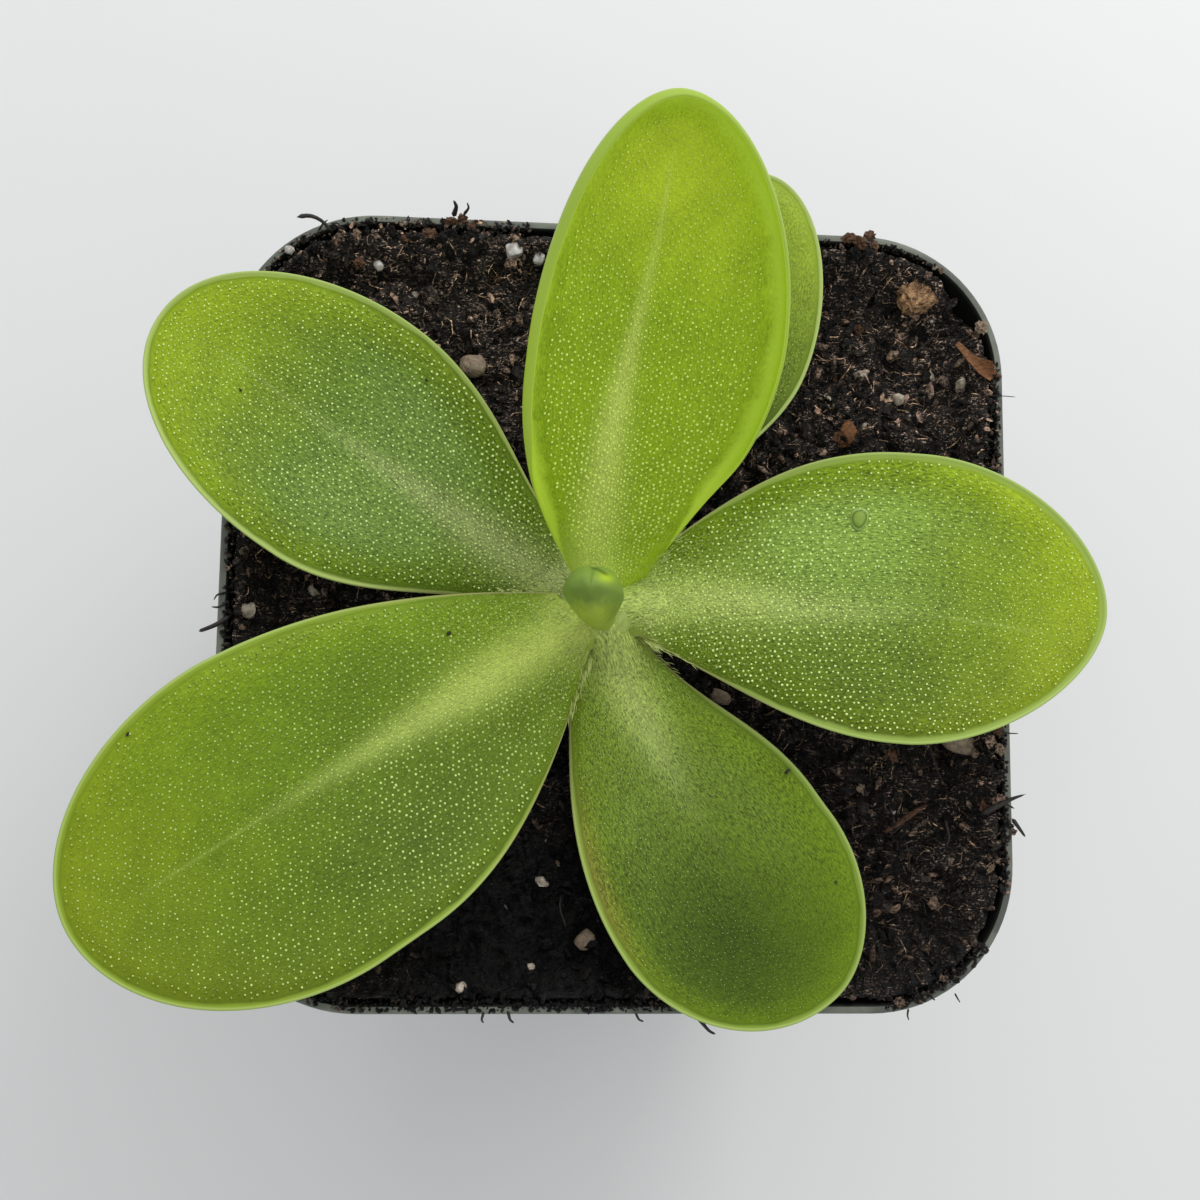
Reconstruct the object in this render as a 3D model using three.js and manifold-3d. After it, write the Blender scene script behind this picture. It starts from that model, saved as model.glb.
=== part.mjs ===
// A butterwort in its square nursery pot: six spoon-shaped leaves with rolled margins and one
// young, still folded leaf on a short crown, in peat with a few chips and grains lying on it.
// Millimetres, +Z up, origin at the middle of the pot's underside.

import * as THREE from "three";
import { mergeVertices } from "three/addons/utils/BufferGeometryUtils.js";
import Module from "manifold-3d";

// ---------------------------------------------------------------- driving dimensions

const CLEARANCE = 0.3; // between pieces that touch
const SAME_POINT = 1e-4; // vertices closer than this are one

// Pot: a tapered square with round corners. Widths are across the flats.
const POT_HEIGHT = 76;
const RIM_WIDTH = 76;
const FOOT_WIDTH = 56;
const RIM_CORNER = 14;
const FOOT_CORNER = 9;
const WALL = 0.8;
const FLOOR = 1.6;
const FOOT_EDGE = 1.4; // rounding between the underside and the sides
const COLLAR_HEIGHT = 8;
const COLLAR_STEP = 0.4; // how far the collar stands out of the wall
const RIM_EDGE = 0.3; // rounding of the rim's two edges
const CORNER_STEPS = 8; // facets round each corner
const DRAIN_RADIUS = 2.5;
const DRAIN_INSET = 17; // round drain holes, from the middle along x and y
const DRAIN_SLOT_LENGTH = 8;
const DRAIN_SLOT_WIDTH = 3.5;
const DRAIN_SLOT_INSET = 22;
const DRAIN_SIDES = 16;

// Soil surface: its level at the crown, how much it rises to the edges, and its relief.
const SOIL_LEVEL = 70.1;
const SOIL_EDGE_RISE = 3.1;
const SOIL_BANKS = [ // places at the edge, by their azimuth, where it is heaped up to the rim
  { azimuth: 128, height: 1.7, spread: 42 },
  { azimuth: 27, height: 1.3, spread: 16 },
];
const SOIL_SIDE_GAP = CLEARANCE + 0.1; // to the pot's wall
const CLUMP_SIZE = 6.5;
const CLUMP_HEIGHT = 0.45;
const CRUMB_SIZE = 2.83;
const CRUMB_HEIGHT = 0.3;
const SOIL_CELLS = 26; // grid cells along each side of the surface
const SOIL_SEED = 7;
const SOIL_FOOT_SHRINK = 0.95; // of the soil's underside, to clear the pot's rounded foot

// Crown: the short stem and its roots.
const CROWN = new THREE.Vector2(-1.7, -0.3);
const STEM_RADIUS = 2.9;
const STEM_TOP = 77.2;
const STEM_BASE = 64;
const STEM_NECK = 0.7; // share of the radius left at the stem's narrowed ends
const STEM_SHOULDER = 0.8; // height of the narrowing at the top
const STEM_SIDES = 20;
const ROOT_TIP = 46;
const ROOT_COUNT = 6;
const ROOT_RADIUS = 0.75;
const ROOT_SIDES = 6;
const ROOT_STEPS = 6;
const ROOT_INSET = 0.15; // of the bundle's outside, from the stem's
const ROOT_COURSE = [ // share of its length, share of the bundle's radius, twist in radians
  [0, 0.6, 0], [0.35, 1, 0.15], [0.7, 0.85, -0.2], [1, 1, 0.1],
];

// Leaves: what all of them share.
const LEAF_ROOT_RADIUS = STEM_RADIUS + CLEARANCE + 0.1; // from the crown's axis to a leaf's base
const MIDRIB_STEPS = 60;
const LEAF_ROWS = 16; // from base to tip
const LEAF_COLUMNS = 7; // from midrib to margin
const ROLL_COLUMNS = 3; // of those, the ones in the rolled margin
const COLUMN_CROWDING = 0.9; // below 1, the columns lie closer together at the margin
const ROLL_START = 0.08; // where the roll begins and is full grown, as shares of the length
const ROLL_GROWN = 0.4;
const ROLL_BASE_RADIUS = 0.6; // the roll's radius and turn at the leaf's base, as shares
const ROLL_BASE_TURN = 0.15;
const RIB_THICKNESS = 1.3; // at the midrib's base
const BLADE_THICKNESS = 0.85;
const MARGIN_THICKNESS = 0.65;
const RIB_SPREAD = 2.2; // half width of the thicker midrib
const RIB_FADE = 0.8; // share of its extra thickness that is gone at the tip
const MARGIN_START = 0.6; // where the blade thins towards its margin, as a share of the columns
const CHANNEL_DEPTH = 0.35; // of the shallow trough along the midrib
const CHANNEL_SPREAD = 1.8;
const CHANNEL_FADE = 0.7; // share of the trough that is gone at the tip

// Each leaf: level is the height of its base on the stem; azimuth is counted from +X;
// sweep turns the midrib sideways from base to tip; rise is its slope at base and at tip;
// tilt turns the blade about the midrib; skew makes the right half wider than the left;
// widest is the place of the greatest width, as a share of the length; fullness shapes the
// outline towards the base and blunt towards the tip; cup lifts the margins;
// rollRadius and rollAngle shape the rolled margin. Angles in degrees.
const LEAVES = {
  leaf_1_upright: {
    level: 76.6, azimuth: 86.5, sweep: -4.5, riseBase: 50, riseTip: 28, tilt: -15,
    length: 46.4, half: 11.3, baseHalf: 3.9, widest: 0.54, fullness: 0.83, blunt: 2.0,
    skew: 0.03, cup: 0.16, rollRadius: 1.1, rollAngle: 165, color: 0x86ad1f,
  },
  leaf_2_front_left: {
    level: 74.8, azimuth: 213, sweep: 1, riseBase: 24, riseTip: 12, tilt: 3,
    length: 53.3, half: 15.0, baseHalf: 3.6, widest: 0.59, fullness: 0.95, blunt: 2.0,
    skew: -0.06, cup: 0.12, rollRadius: 0.6, rollAngle: 120, color: 0x7d9f33,
  },
  leaf_3_right: {
    level: 74.6, azimuth: 10.5, sweep: -27, riseBase: 22, riseTip: 8, tilt: 2,
    length: 44.2, half: 13.9, baseHalf: 3.4, widest: 0.58, fullness: 1.14, blunt: 1.82,
    skew: 0.05, cup: 0.12, rollRadius: 0.6, rollAngle: 120, color: 0x76992f,
  },
  leaf_4_back_left: {
    level: 73.2, azimuth: 148.5, sweep: -1, riseBase: 16, riseTip: 6, tilt: -2,
    length: 47, half: 12.8, baseHalf: 3.2, widest: 0.56, fullness: 1.95, blunt: 2.0,
    skew: -0.02, cup: 0.12, rollRadius: 0.6, rollAngle: 120, color: 0x6f9440,
  },
  leaf_5_front_right: {
    level: 72.8, azimuth: -70, sweep: 24.5, riseBase: 14, riseTip: 2, tilt: -5,
    length: 39.6, half: 12.1, baseHalf: 3.4, widest: 0.62, fullness: 1.26, blunt: 1.9,
    skew: 0.13, cup: 0.12, rollRadius: 0.6, rollAngle: 120, color: 0x5f8a35,
  },
  leaf_6_back: {
    level: 71.6, azimuth: 72, sweep: -10.5, riseBase: 15, riseTip: 5, tilt: -6.5,
    length: 43, half: 10.5, baseHalf: 2.8, widest: 0.59, fullness: 2.2, blunt: 1.85,
    skew: -0.04, cup: 0.12, rollRadius: 0.6, rollAngle: 120, color: 0x7da337,
  },
};

// Young leaf: an upright, still folded leaf. Its two margins meet in a cleft at the back.
// Across, it is heart-shaped: the cleft between two round lobes, and the midrib's keel in front.
const YOUNG = {
  footX: -0.4, footY: -0.9, height: 15, baseHalf: 1.4, width: 5.3, depth: 4.8, shoulder: 0.74,
  leanX: -2.3, leanY: 0.7, keel: 0.35, rows: 14, sides: 24,
  cleftAzimuth: 96, cleftDepth: 0.42, cleftSpread: 24, cleftStart: 0.2, cleftGrown: 0.85,
};
const DOME_END = 0.46 * Math.PI; // angle of the young leaf's last ring, just short of its pole
const DOME_POLE = 0.995; // height of that pole, as a share of the young leaf's

// Bits on the soil: centre x and y, size along, across and up, turn about +Z in degrees.
const BITS = {
  bark_chip: { at: [29.7, 32.1], size: [3.7, 3.0, 1.8], turn: 25, color: 0x9a7650 },
  wood_sliver_back_right: { at: [33.9, 25.6], size: [3.6, 1.3, 1.1], turn: -32, color: 0x97562b },
  wood_sliver_right: { at: [28.9, -19.4], size: [4.4, 0.9, 0.9], turn: 40, color: 0x4a3222 },
  wood_curl: { at: [22.9, 18.8], size: [2.6, 1.8, 1.6], turn: 60, color: 0x8a4d25 },
  quartz_grain_1: { at: [-10.9, 34.8], size: [1.6, 1.4, 1.3], turn: 15, color: 0xd8d2cc },
  quartz_grain_2: { at: [-8.4, 34.0], size: [1.2, 1.1, 1.0], turn: 70, color: 0xb9b2ac },
  quartz_grain_3: { at: [-24.1, 33.4], size: [1.3, 1.1, 1.0], turn: 130, color: 0xc7c1ba },
  stone_back: { at: [-14.7, 24.1], size: [2.6, 2.2, 1.8], turn: 0, color: 0xa58d72 },
  stone_right: { at: [33.4, -12.5], size: [3.4, 2.4, 1.8], turn: 10, color: 0xb8a588 },
  stone_front: { at: [-2.8, -31.6], size: [2.0, 1.7, 1.4], turn: 45, color: 0xa08b74 },
  stone_middle: { at: [10.6, -8.0], size: [2.2, 1.4, 1.3], turn: -20, color: 0x8a6c4c },
};
const BIT_SUNK = 0.35; // share of its height that lies in the soil
const BIT_ROUGHNESS = 0.16; // how far its skin is pushed in or out, as a share of its radius

// ---------------------------------------------------------------- small tools

const degrees = THREE.MathUtils.degToRad;
const mix = THREE.MathUtils.lerp;
const smooth = THREE.MathUtils.smoothstep;

const wasm = await Module();
wasm.setup();

function merged(geometry) {
  geometry.deleteAttribute("normal");
  geometry.deleteAttribute("uv");
  return mergeVertices(geometry, SAME_POINT);
}

// A closed geometry as a solid that can be joined and cut, and back again.
function toSolid(geometry) {
  const closed = merged(geometry);
  return new wasm.Manifold(new wasm.Mesh({
    numProp: 3,
    vertProperties: new Float32Array(closed.attributes.position.array),
    triVerts: new Uint32Array(closed.index.array),
  }));
}

function toGeometry(solid) {
  const mesh = solid.getMesh();
  return surface(Array.from(mesh.vertProperties), Array.from(mesh.triVerts));
}

function surface(positions, triangles) {
  const geometry = new THREE.BufferGeometry();
  geometry.setAttribute("position", new THREE.Float32BufferAttribute(positions, 3));
  geometry.setIndex(triangles);
  geometry.computeVertexNormals();
  return geometry;
}

function mesh(name, geometry, color, roughness) {
  const material = new THREE.MeshStandardMaterial({ color, roughness, metalness: 0 });
  const piece = new THREE.Mesh(geometry, material);
  piece.name = name;
  return piece;
}

function angleBetween(a, b) {
  const turn = Math.abs(a - b) % (2 * Math.PI);
  return Math.min(turn, 2 * Math.PI - turn);
}

// A number between 0 and 1 that depends only on whole numbers i, j and a seed: the fraction
// of a very steep sine, whose factors only have to be large and uneven.
function scatter(i, j, seed) {
  const wave = Math.sin(i * 127.1 + j * 311.7 + seed * 74.7) * 43758.5453;
  return wave - Math.floor(wave);
}

// Smooth noise from -1 to 1 with one hump or dip about every unit of x and y.
function noise(x, y, seed) {
  const i = Math.floor(x);
  const j = Math.floor(y);
  const fx = smooth(x - i, 0, 1);
  const fy = smooth(y - j, 0, 1);
  const near = mix(scatter(i, j, seed), scatter(i + 1, j, seed), fx);
  const far = mix(scatter(i, j + 1, seed), scatter(i + 1, j + 1, seed), fx);
  return 2 * mix(near, far, fy) - 1;
}

// ---------------------------------------------------------------- rounded squares

// Points round a square with round corners, anticlockwise from the right-hand flat's lower end.
function roundedSquare(half, corner, z, perFlat, perCorner) {
  const points = [];
  for (let side = 0; side < 4; side += 1) {
    const turn = side * Math.PI / 2;
    const place = (x, y) => new THREE.Vector3(
      x * Math.cos(turn) - y * Math.sin(turn), x * Math.sin(turn) + y * Math.cos(turn), z);
    const flat = half - corner;
    for (let k = 0; k < perFlat; k += 1) {
      points.push(place(half, mix(-flat, flat, k / perFlat)));
    }
    for (let k = 0; k < perCorner; k += 1) {
      const angle = (k / perCorner) * Math.PI / 2;
      points.push(place(flat + corner * Math.cos(angle), flat + corner * Math.sin(angle)));
    }
  }
  return points;
}

// Distance from the middle to the edge of a rounded square along a direction.
function squareReach(half, corner, angle) {
  const c = Math.abs(Math.cos(angle));
  const s = Math.abs(Math.sin(angle));
  const flat = half - corner;
  const straight = half / Math.max(c, s);
  if (straight * Math.min(c, s) <= flat) {
    return straight;
  }
  const along = flat * (c + s);
  return along + Math.sqrt(along * along - 2 * flat * flat + corner * corner);
}

// Skin through a list of rings with the same number of points, closed by a point at each end.
function loft(rings, firstPole, lastPole) {
  const count = rings[0].length;
  const positions = [...firstPole.toArray()];
  const triangles = [];
  for (const ring of rings) {
    for (const point of ring) {
      positions.push(...point.toArray());
    }
  }
  positions.push(...lastPole.toArray());
  const at = (row, k) => 1 + row * count + (k % count);
  const last = 1 + rings.length * count;
  for (let k = 0; k < count; k += 1) {
    triangles.push(0, at(0, k + 1), at(0, k));
    for (let row = 0; row + 1 < rings.length; row += 1) {
      triangles.push(at(row, k), at(row, k + 1), at(row + 1, k + 1));
      triangles.push(at(row, k), at(row + 1, k + 1), at(row + 1, k));
    }
    triangles.push(last, at(rings.length - 1, k), at(rings.length - 1, k + 1));
  }
  return surface(positions, triangles);
}

// ---------------------------------------------------------------- pot

// Half width and corner radius of the pot's outer wall, without the collar, at height z.
function wallAt(z) {
  const share = z / POT_HEIGHT;
  return {
    half: mix(FOOT_WIDTH, RIM_WIDTH - 2 * COLLAR_STEP, share) / 2,
    corner: mix(FOOT_CORNER, RIM_CORNER - COLLAR_STEP, share),
  };
}

function potRing(z, inset) {
  const { half, corner } = wallAt(z);
  return roundedSquare(half - inset, corner - inset, z, 1, CORNER_STEPS);
}

// The pot's skin, up the outside, over the rim and down the inside, with the drains cut out.
function potGeometry() {
  const collarFoot = POT_HEIGHT - COLLAR_HEIGHT;
  const roundMiddle = FOOT_EDGE * (1 - Math.SQRT1_2);
  const rings = [
    potRing(0, FOOT_EDGE),
    potRing(roundMiddle, roundMiddle),
    potRing(FOOT_EDGE, 0),
    potRing(collarFoot - COLLAR_STEP, 0),
    potRing(collarFoot, -COLLAR_STEP),
    potRing(POT_HEIGHT - RIM_EDGE, -COLLAR_STEP),
    potRing(POT_HEIGHT, -COLLAR_STEP + RIM_EDGE),
    potRing(POT_HEIGHT, WALL - RIM_EDGE),
    potRing(POT_HEIGHT - RIM_EDGE, WALL),
    potRing(FLOOR + FOOT_EDGE, WALL),
    potRing(FLOOR, WALL + FOOT_EDGE),
  ];
  let pot = toSolid(loft(rings, new THREE.Vector3(0, 0, 0), new THREE.Vector3(0, 0, FLOOR)));
  for (const drain of drains()) {
    pot = pot.subtract(toSolid(drain));
  }
  return toGeometry(pot);
}

// Cutters for the drain holes: a round one towards each corner, a slot towards each side.
function drains() {
  const cutters = [];
  const depth = 3 * FLOOR;
  for (let side = 0; side < 4; side += 1) {
    const turn = side * Math.PI / 2;
    const hole = new THREE.CylinderGeometry(DRAIN_RADIUS, DRAIN_RADIUS, depth, DRAIN_SIDES);
    hole.rotateX(Math.PI / 2);
    hole.translate(DRAIN_INSET, DRAIN_INSET, 0);
    hole.rotateZ(turn);
    cutters.push(hole);
    const slot = new THREE.BoxGeometry(DRAIN_SLOT_WIDTH, DRAIN_SLOT_LENGTH, depth);
    slot.translate(DRAIN_SLOT_INSET, 0, 0);
    slot.rotateZ(turn);
    cutters.push(slot);
  }
  return cutters;
}

// ---------------------------------------------------------------- soil

// Height of the soil's surface: a bowl that rises to the edges, banks heaped up against the
// rim, clumps, and a second, finer layer of crumbs.
function soilHeight(x, y) {
  const reach = 2 * Math.max(Math.abs(x), Math.abs(y)) / RIM_WIDTH;
  const azimuth = Math.atan2(y, x);
  let level = SOIL_LEVEL + SOIL_EDGE_RISE * reach ** 3;
  for (const bank of SOIL_BANKS) {
    const off = angleBetween(azimuth, degrees(bank.azimuth)) / degrees(bank.spread);
    level += bank.height * reach * reach * Math.exp(-off * off);
  }
  level += CLUMP_HEIGHT * noise(x / CLUMP_SIZE, y / CLUMP_SIZE, SOIL_SEED);
  level += CRUMB_HEIGHT * noise(x / CRUMB_SIZE, y / CRUMB_SIZE, SOIL_SEED + 1);
  return Math.min(level, POT_HEIGHT - RIM_EDGE);
}

// The points on the edge of a grid with n cells a side, anticlockwise.
function gridEdge(n) {
  const steps = Array.from({ length: n }, (_, k) => k);
  return [
    ...steps.map((k) => [k, 0]),
    ...steps.map((k) => [n, k]),
    ...steps.map((k) => [n - k, n]),
    ...steps.map((k) => [0, n - k]),
  ];
}

// A square grid, squeezed into the pot's rounded outline ring by ring, with sides below it.
function soilGeometry() {
  const n = SOIL_CELLS;
  const foot = FLOOR + CLEARANCE;
  const positions = [];
  const triangles = [];
  const gridPoint = (i, j, level) => {
    const u = 2 * i / n - 1;
    const v = 2 * j / n - 1;
    const { half, corner } = wallAt(level);
    const reach = Math.max(Math.abs(u), Math.abs(v));
    const angle = Math.atan2(v, u);
    const inset = WALL + SOIL_SIDE_GAP;
    const radius = reach * squareReach(half - inset, corner - inset, angle);
    return [radius * Math.cos(angle), radius * Math.sin(angle)];
  };
  for (let j = 0; j <= n; j += 1) {
    for (let i = 0; i <= n; i += 1) {
      const [x, y] = gridPoint(i, j, SOIL_LEVEL);
      positions.push(x, y, soilHeight(x, y));
    }
  }
  const top = (i, j) => j * (n + 1) + i;
  for (let j = 0; j < n; j += 1) {
    for (let i = 0; i < n; i += 1) {
      triangles.push(top(i, j), top(i + 1, j), top(i + 1, j + 1));
      triangles.push(top(i, j), top(i + 1, j + 1), top(i, j + 1));
    }
  }
  // The edge of the surface drops to a rounded foot and closes underneath.
  const edge = gridEdge(n);
  let above = edge.map(([i, j]) => top(i, j));
  for (const [z, shrink] of [[foot + FOOT_EDGE, 1], [foot, SOIL_FOOT_SHRINK]]) {
    const ring = edge.map(([i, j]) => {
      const [x, y] = gridPoint(i, j, z);
      positions.push(x * shrink, y * shrink, z);
      return positions.length / 3 - 1;
    });
    for (let k = 0; k < ring.length; k += 1) {
      const next = (k + 1) % ring.length;
      triangles.push(above[k], ring[k], ring[next]);
      triangles.push(above[k], ring[next], above[next]);
    }
    above = ring;
  }
  positions.push(0, 0, foot);
  const pole = positions.length / 3 - 1;
  for (let k = 0; k < above.length; k += 1) {
    triangles.push(above[k], pole, above[(k + 1) % above.length]);
  }
  return surface(positions, triangles);
}

// The plain hole that the crown stands in.
function crownHole() {
  const floor = ROOT_TIP - CLEARANCE;
  const height = POT_HEIGHT - floor;
  const radius = STEM_RADIUS + CLEARANCE;
  const hole = new THREE.CylinderGeometry(radius, radius, height, STEM_SIDES);
  hole.rotateX(Math.PI / 2);
  hole.translate(CROWN.x, CROWN.y, floor + height / 2);
  return hole;
}

// ---------------------------------------------------------------- crown

// The stem, with its roots drawn together below it in one bundle.
function crownGeometry() {
  const neck = STEM_RADIUS * STEM_NECK;
  const stem = new THREE.LatheGeometry([
    new THREE.Vector2(0, STEM_BASE - STEM_RADIUS),
    new THREE.Vector2(neck, STEM_BASE - STEM_RADIUS / 2),
    new THREE.Vector2(STEM_RADIUS, STEM_BASE + STEM_RADIUS / 2),
    new THREE.Vector2(STEM_RADIUS, STEM_TOP - STEM_SHOULDER),
    new THREE.Vector2(neck, STEM_TOP),
    new THREE.Vector2(0, STEM_TOP),
  ], STEM_SIDES);
  stem.rotateX(Math.PI / 2);
  stem.translate(CROWN.x, CROWN.y, 0);
  let crown = toSolid(stem);
  for (let k = 0; k < ROOT_COUNT; k += 1) {
    crown = crown.add(toSolid(rootGeometry(k)));
  }
  return toGeometry(crown);
}

// Root k starts inside the stem and winds down the bundle; every third one is the longest.
function rootGeometry(k) {
  const turn = (k / ROOT_COUNT) * 2 * Math.PI;
  const spread = STEM_RADIUS - ROOT_RADIUS - ROOT_INSET;
  const start = STEM_BASE + ROOT_RADIUS;
  const length = start - ROOT_TIP - (k % 3);
  const path = new THREE.CatmullRomCurve3(ROOT_COURSE.map(([share, out, twist]) => (
    new THREE.Vector3(
      CROWN.x + spread * out * Math.cos(turn + twist),
      CROWN.y + spread * out * Math.sin(turn + twist),
      start - share * length))));
  const corners = Array.from({ length: ROOT_SIDES }, (_, corner) => {
    const angle = corner / ROOT_SIDES * 2 * Math.PI;
    return new THREE.Vector2(ROOT_RADIUS * Math.cos(angle), ROOT_RADIUS * Math.sin(angle));
  });
  return new THREE.ExtrudeGeometry(new THREE.Shape(corners), {
    steps: ROOT_STEPS, extrudePath: path, bevelEnabled: false,
  });
}

// ---------------------------------------------------------------- leaves

// The midrib: places and axes along a curve whose slope and heading change evenly.
function midrib(leaf) {
  const steps = MIDRIB_STEPS;
  const heading = degrees(leaf.azimuth);
  const spot = new THREE.Vector3(
    CROWN.x + LEAF_ROOT_RADIUS * Math.cos(heading),
    CROWN.y + LEAF_ROOT_RADIUS * Math.sin(heading),
    leaf.level);
  const frames = [];
  for (let k = 0; k <= steps; k += 1) {
    const share = k / steps;
    const slope = degrees(mix(leaf.riseBase, leaf.riseTip, share));
    const turn = heading + degrees(leaf.sweep) * share;
    const along = new THREE.Vector3(
      Math.cos(slope) * Math.cos(turn), Math.cos(slope) * Math.sin(turn), Math.sin(slope));
    if (k > 0) {
      const before = frames[k - 1].along;
      spot.addScaledVector(before, leaf.length / steps / 2);
      spot.addScaledVector(along, leaf.length / steps / 2);
    }
    const right = new THREE.Vector3(Math.sin(turn), -Math.cos(turn), 0);
    right.applyAxisAngle(along, -degrees(leaf.tilt));
    const up = new THREE.Vector3().crossVectors(right, along);
    frames.push({ spot: spot.clone(), along, right, up });
  }
  // The point at x along the leaf, y to its right and z above its plane.
  return (x, y, z) => {
    const share = THREE.MathUtils.clamp(x / leaf.length, 0, 1) * steps;
    const k = Math.min(Math.floor(share), steps - 1);
    const [a, b] = [frames[k], frames[k + 1]];
    const blend = (key) => a[key].clone().lerp(b[key], share - k);
    return blend("spot").addScaledVector(blend("right"), y).addScaledVector(blend("up"), z);
  };
}

// Where row u, from 0 at the base to 1 at the tip, starts on the midrib and meets the outline.
// Up to the widest place the half width swells as a power of a sine. From there the outline is
// a superellipse, and the rows turn with it, square to the margin.
function leafRow(leaf, u, side) {
  const half = leaf.half * (1 + side * leaf.skew);
  const base = leaf.baseHalf * (1 + side * leaf.skew);
  const wide = leaf.widest * leaf.length;
  if (u < 0.5) {
    const swell = Math.sin(Math.PI * u) ** leaf.fullness;
    return { start: wide * 2 * u, x: wide * 2 * u, y: mix(base, half, swell) };
  }
  const angle = Math.PI * (1 - u);
  const reach = leaf.length - wide;
  const along = Math.max(Math.cos(angle), 0) ** (2 / leaf.blunt);
  const across = Math.max(Math.sin(angle), 0) ** (2 / leaf.blunt);
  const foot = reach - leaf.half * leaf.half / reach;
  return { start: wide + foot * along, x: wide + reach * along, y: half * (u < 1 ? across : 0) };
}

// Height of the blade above its flat plane at y from the midrib: cupped, with a trough.
function bladeHeight(leaf, x, y) {
  const trough = Math.exp(-((y / CHANNEL_SPREAD) ** 2)) * (1 - CHANNEL_FADE * x / leaf.length);
  return leaf.cup * y * y / leaf.half - CHANNEL_DEPTH * trough;
}

// Thickest at the midrib's base; margin is 0 at the midrib and 1 at the margin.
function thicknessAt(leaf, x, y, margin) {
  const rib = Math.exp(-((y / RIB_SPREAD) ** 2)) * (1 - RIB_FADE * x / leaf.length);
  const blade = mix(BLADE_THICKNESS, RIB_THICKNESS, rib);
  return mix(blade, MARGIN_THICKNESS, smooth(margin, MARGIN_START, 1));
}

// The points of one row from midrib to margin, on one side of the leaf: even steps over the
// open blade, then an arc that rolls up and inwards. The roll starts a little past the base.
function rowPoints(leaf, place, u, side) {
  const row = leafRow(leaf, u, side);
  const dx = row.x - row.start;
  const width = Math.hypot(dx, row.y);
  const grown = smooth(row.start / leaf.length, ROLL_START, ROLL_GROWN);
  const radius = leaf.rollRadius * mix(ROLL_BASE_RADIUS, 1, grown);
  const turn = degrees(leaf.rollAngle) * mix(ROLL_BASE_TURN, 1, grown);
  const open = width - radius * Math.sin(Math.min(turn, Math.PI / 2));
  const blade = (distance) => {
    const x = row.start + dx * distance / width;
    const y = row.y * distance / width;
    return { x, y, z: bladeHeight(leaf, x, y) };
  };
  const points = [];
  const openColumns = LEAF_COLUMNS - ROLL_COLUMNS;
  for (let k = 0; k <= openColumns; k += 1) {
    const { x, y, z } = blade(open * (k / openColumns) ** COLUMN_CROWDING);
    const thickness = thicknessAt(leaf, x, y, k / LEAF_COLUMNS);
    points.push({ spot: place(x, side * y, z), thickness });
  }
  const edge = blade(open);
  for (let k = 1; k <= ROLL_COLUMNS; k += 1) {
    const angle = turn * k / ROLL_COLUMNS;
    const out = radius * Math.sin(angle);
    const x = edge.x + dx * out / width;
    const y = edge.y + row.y * out / width;
    const z = edge.z + radius * (1 - Math.cos(angle));
    points.push({ spot: place(x, side * y, z), thickness: MARGIN_THICKNESS });
  }
  return points;
}

// A leaf is one mid surface with an upper and a lower face, split into triangles alike.
function leafGeometry(leaf) {
  const place = midrib(leaf);
  const spots = [];
  const thickness = [];
  const add = (point) => {
    spots.push(...point.spot.toArray());
    thickness.push(point.thickness);
    return thickness.length - 1;
  };
  const rows = [];
  for (let r = 0; r <= LEAF_ROWS; r += 1) {
    const u = r / LEAF_ROWS;
    const right = rowPoints(leaf, place, u, 1).map(add);
    const left = r === LEAF_ROWS ? right : [
      right[0], ...rowPoints(leaf, place, u, -1).slice(1).map(add)];
    rows.push({ right, left });
  }
  const faces = [];
  const quad = (a, b, c, d) => faces.push([a, b, c], [a, c, d]);
  for (let r = 0; r < LEAF_ROWS; r += 1) {
    const [near, far] = [rows[r], rows[r + 1]];
    for (let k = 0; k < LEAF_COLUMNS; k += 1) {
      quad(near.right[k], near.right[k + 1], far.right[k + 1], far.right[k]);
      quad(near.left[k + 1], near.left[k], far.left[k], far.left[k + 1]);
    }
  }
  const rim = [
    ...rows[0].left.slice(1).reverse(),
    ...rows[0].right,
    ...rows.slice(1).map((row) => row.right[LEAF_COLUMNS]),
    ...rows.slice(1, -1).map((row) => row.left[LEAF_COLUMNS]).reverse(),
  ];
  return thicken(spots, thickness, faces, rim);
}

// Gives a sheet its thickness: half of it to each side along the sheet's normals, with a wall
// round the rim, whose points run anticlockwise seen from above.
function thicken(spots, thickness, faces, rim) {
  const sheet = surface(spots, faces.flat());
  const normals = sheet.attributes.normal;
  const count = thickness.length;
  const positions = [];
  for (const sign of [1, -1]) {
    for (let k = 0; k < count; k += 1) {
      const reach = sign * thickness[k] / 2;
      positions.push(spots[3 * k] + reach * normals.getX(k));
      positions.push(spots[3 * k + 1] + reach * normals.getY(k));
      positions.push(spots[3 * k + 2] + reach * normals.getZ(k));
    }
  }
  const triangles = [];
  for (const [a, b, c] of faces) {
    triangles.push(a, b, c);
    triangles.push(count + a, count + c, count + b);
  }
  for (let k = 0; k < rim.length; k += 1) {
    const here = rim[k];
    const next = rim[(k + 1) % rim.length];
    triangles.push(here, count + here, count + next);
    triangles.push(here, count + next, next);
  }
  return surface(positions, triangles);
}

// ---------------------------------------------------------------- young leaf

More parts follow.
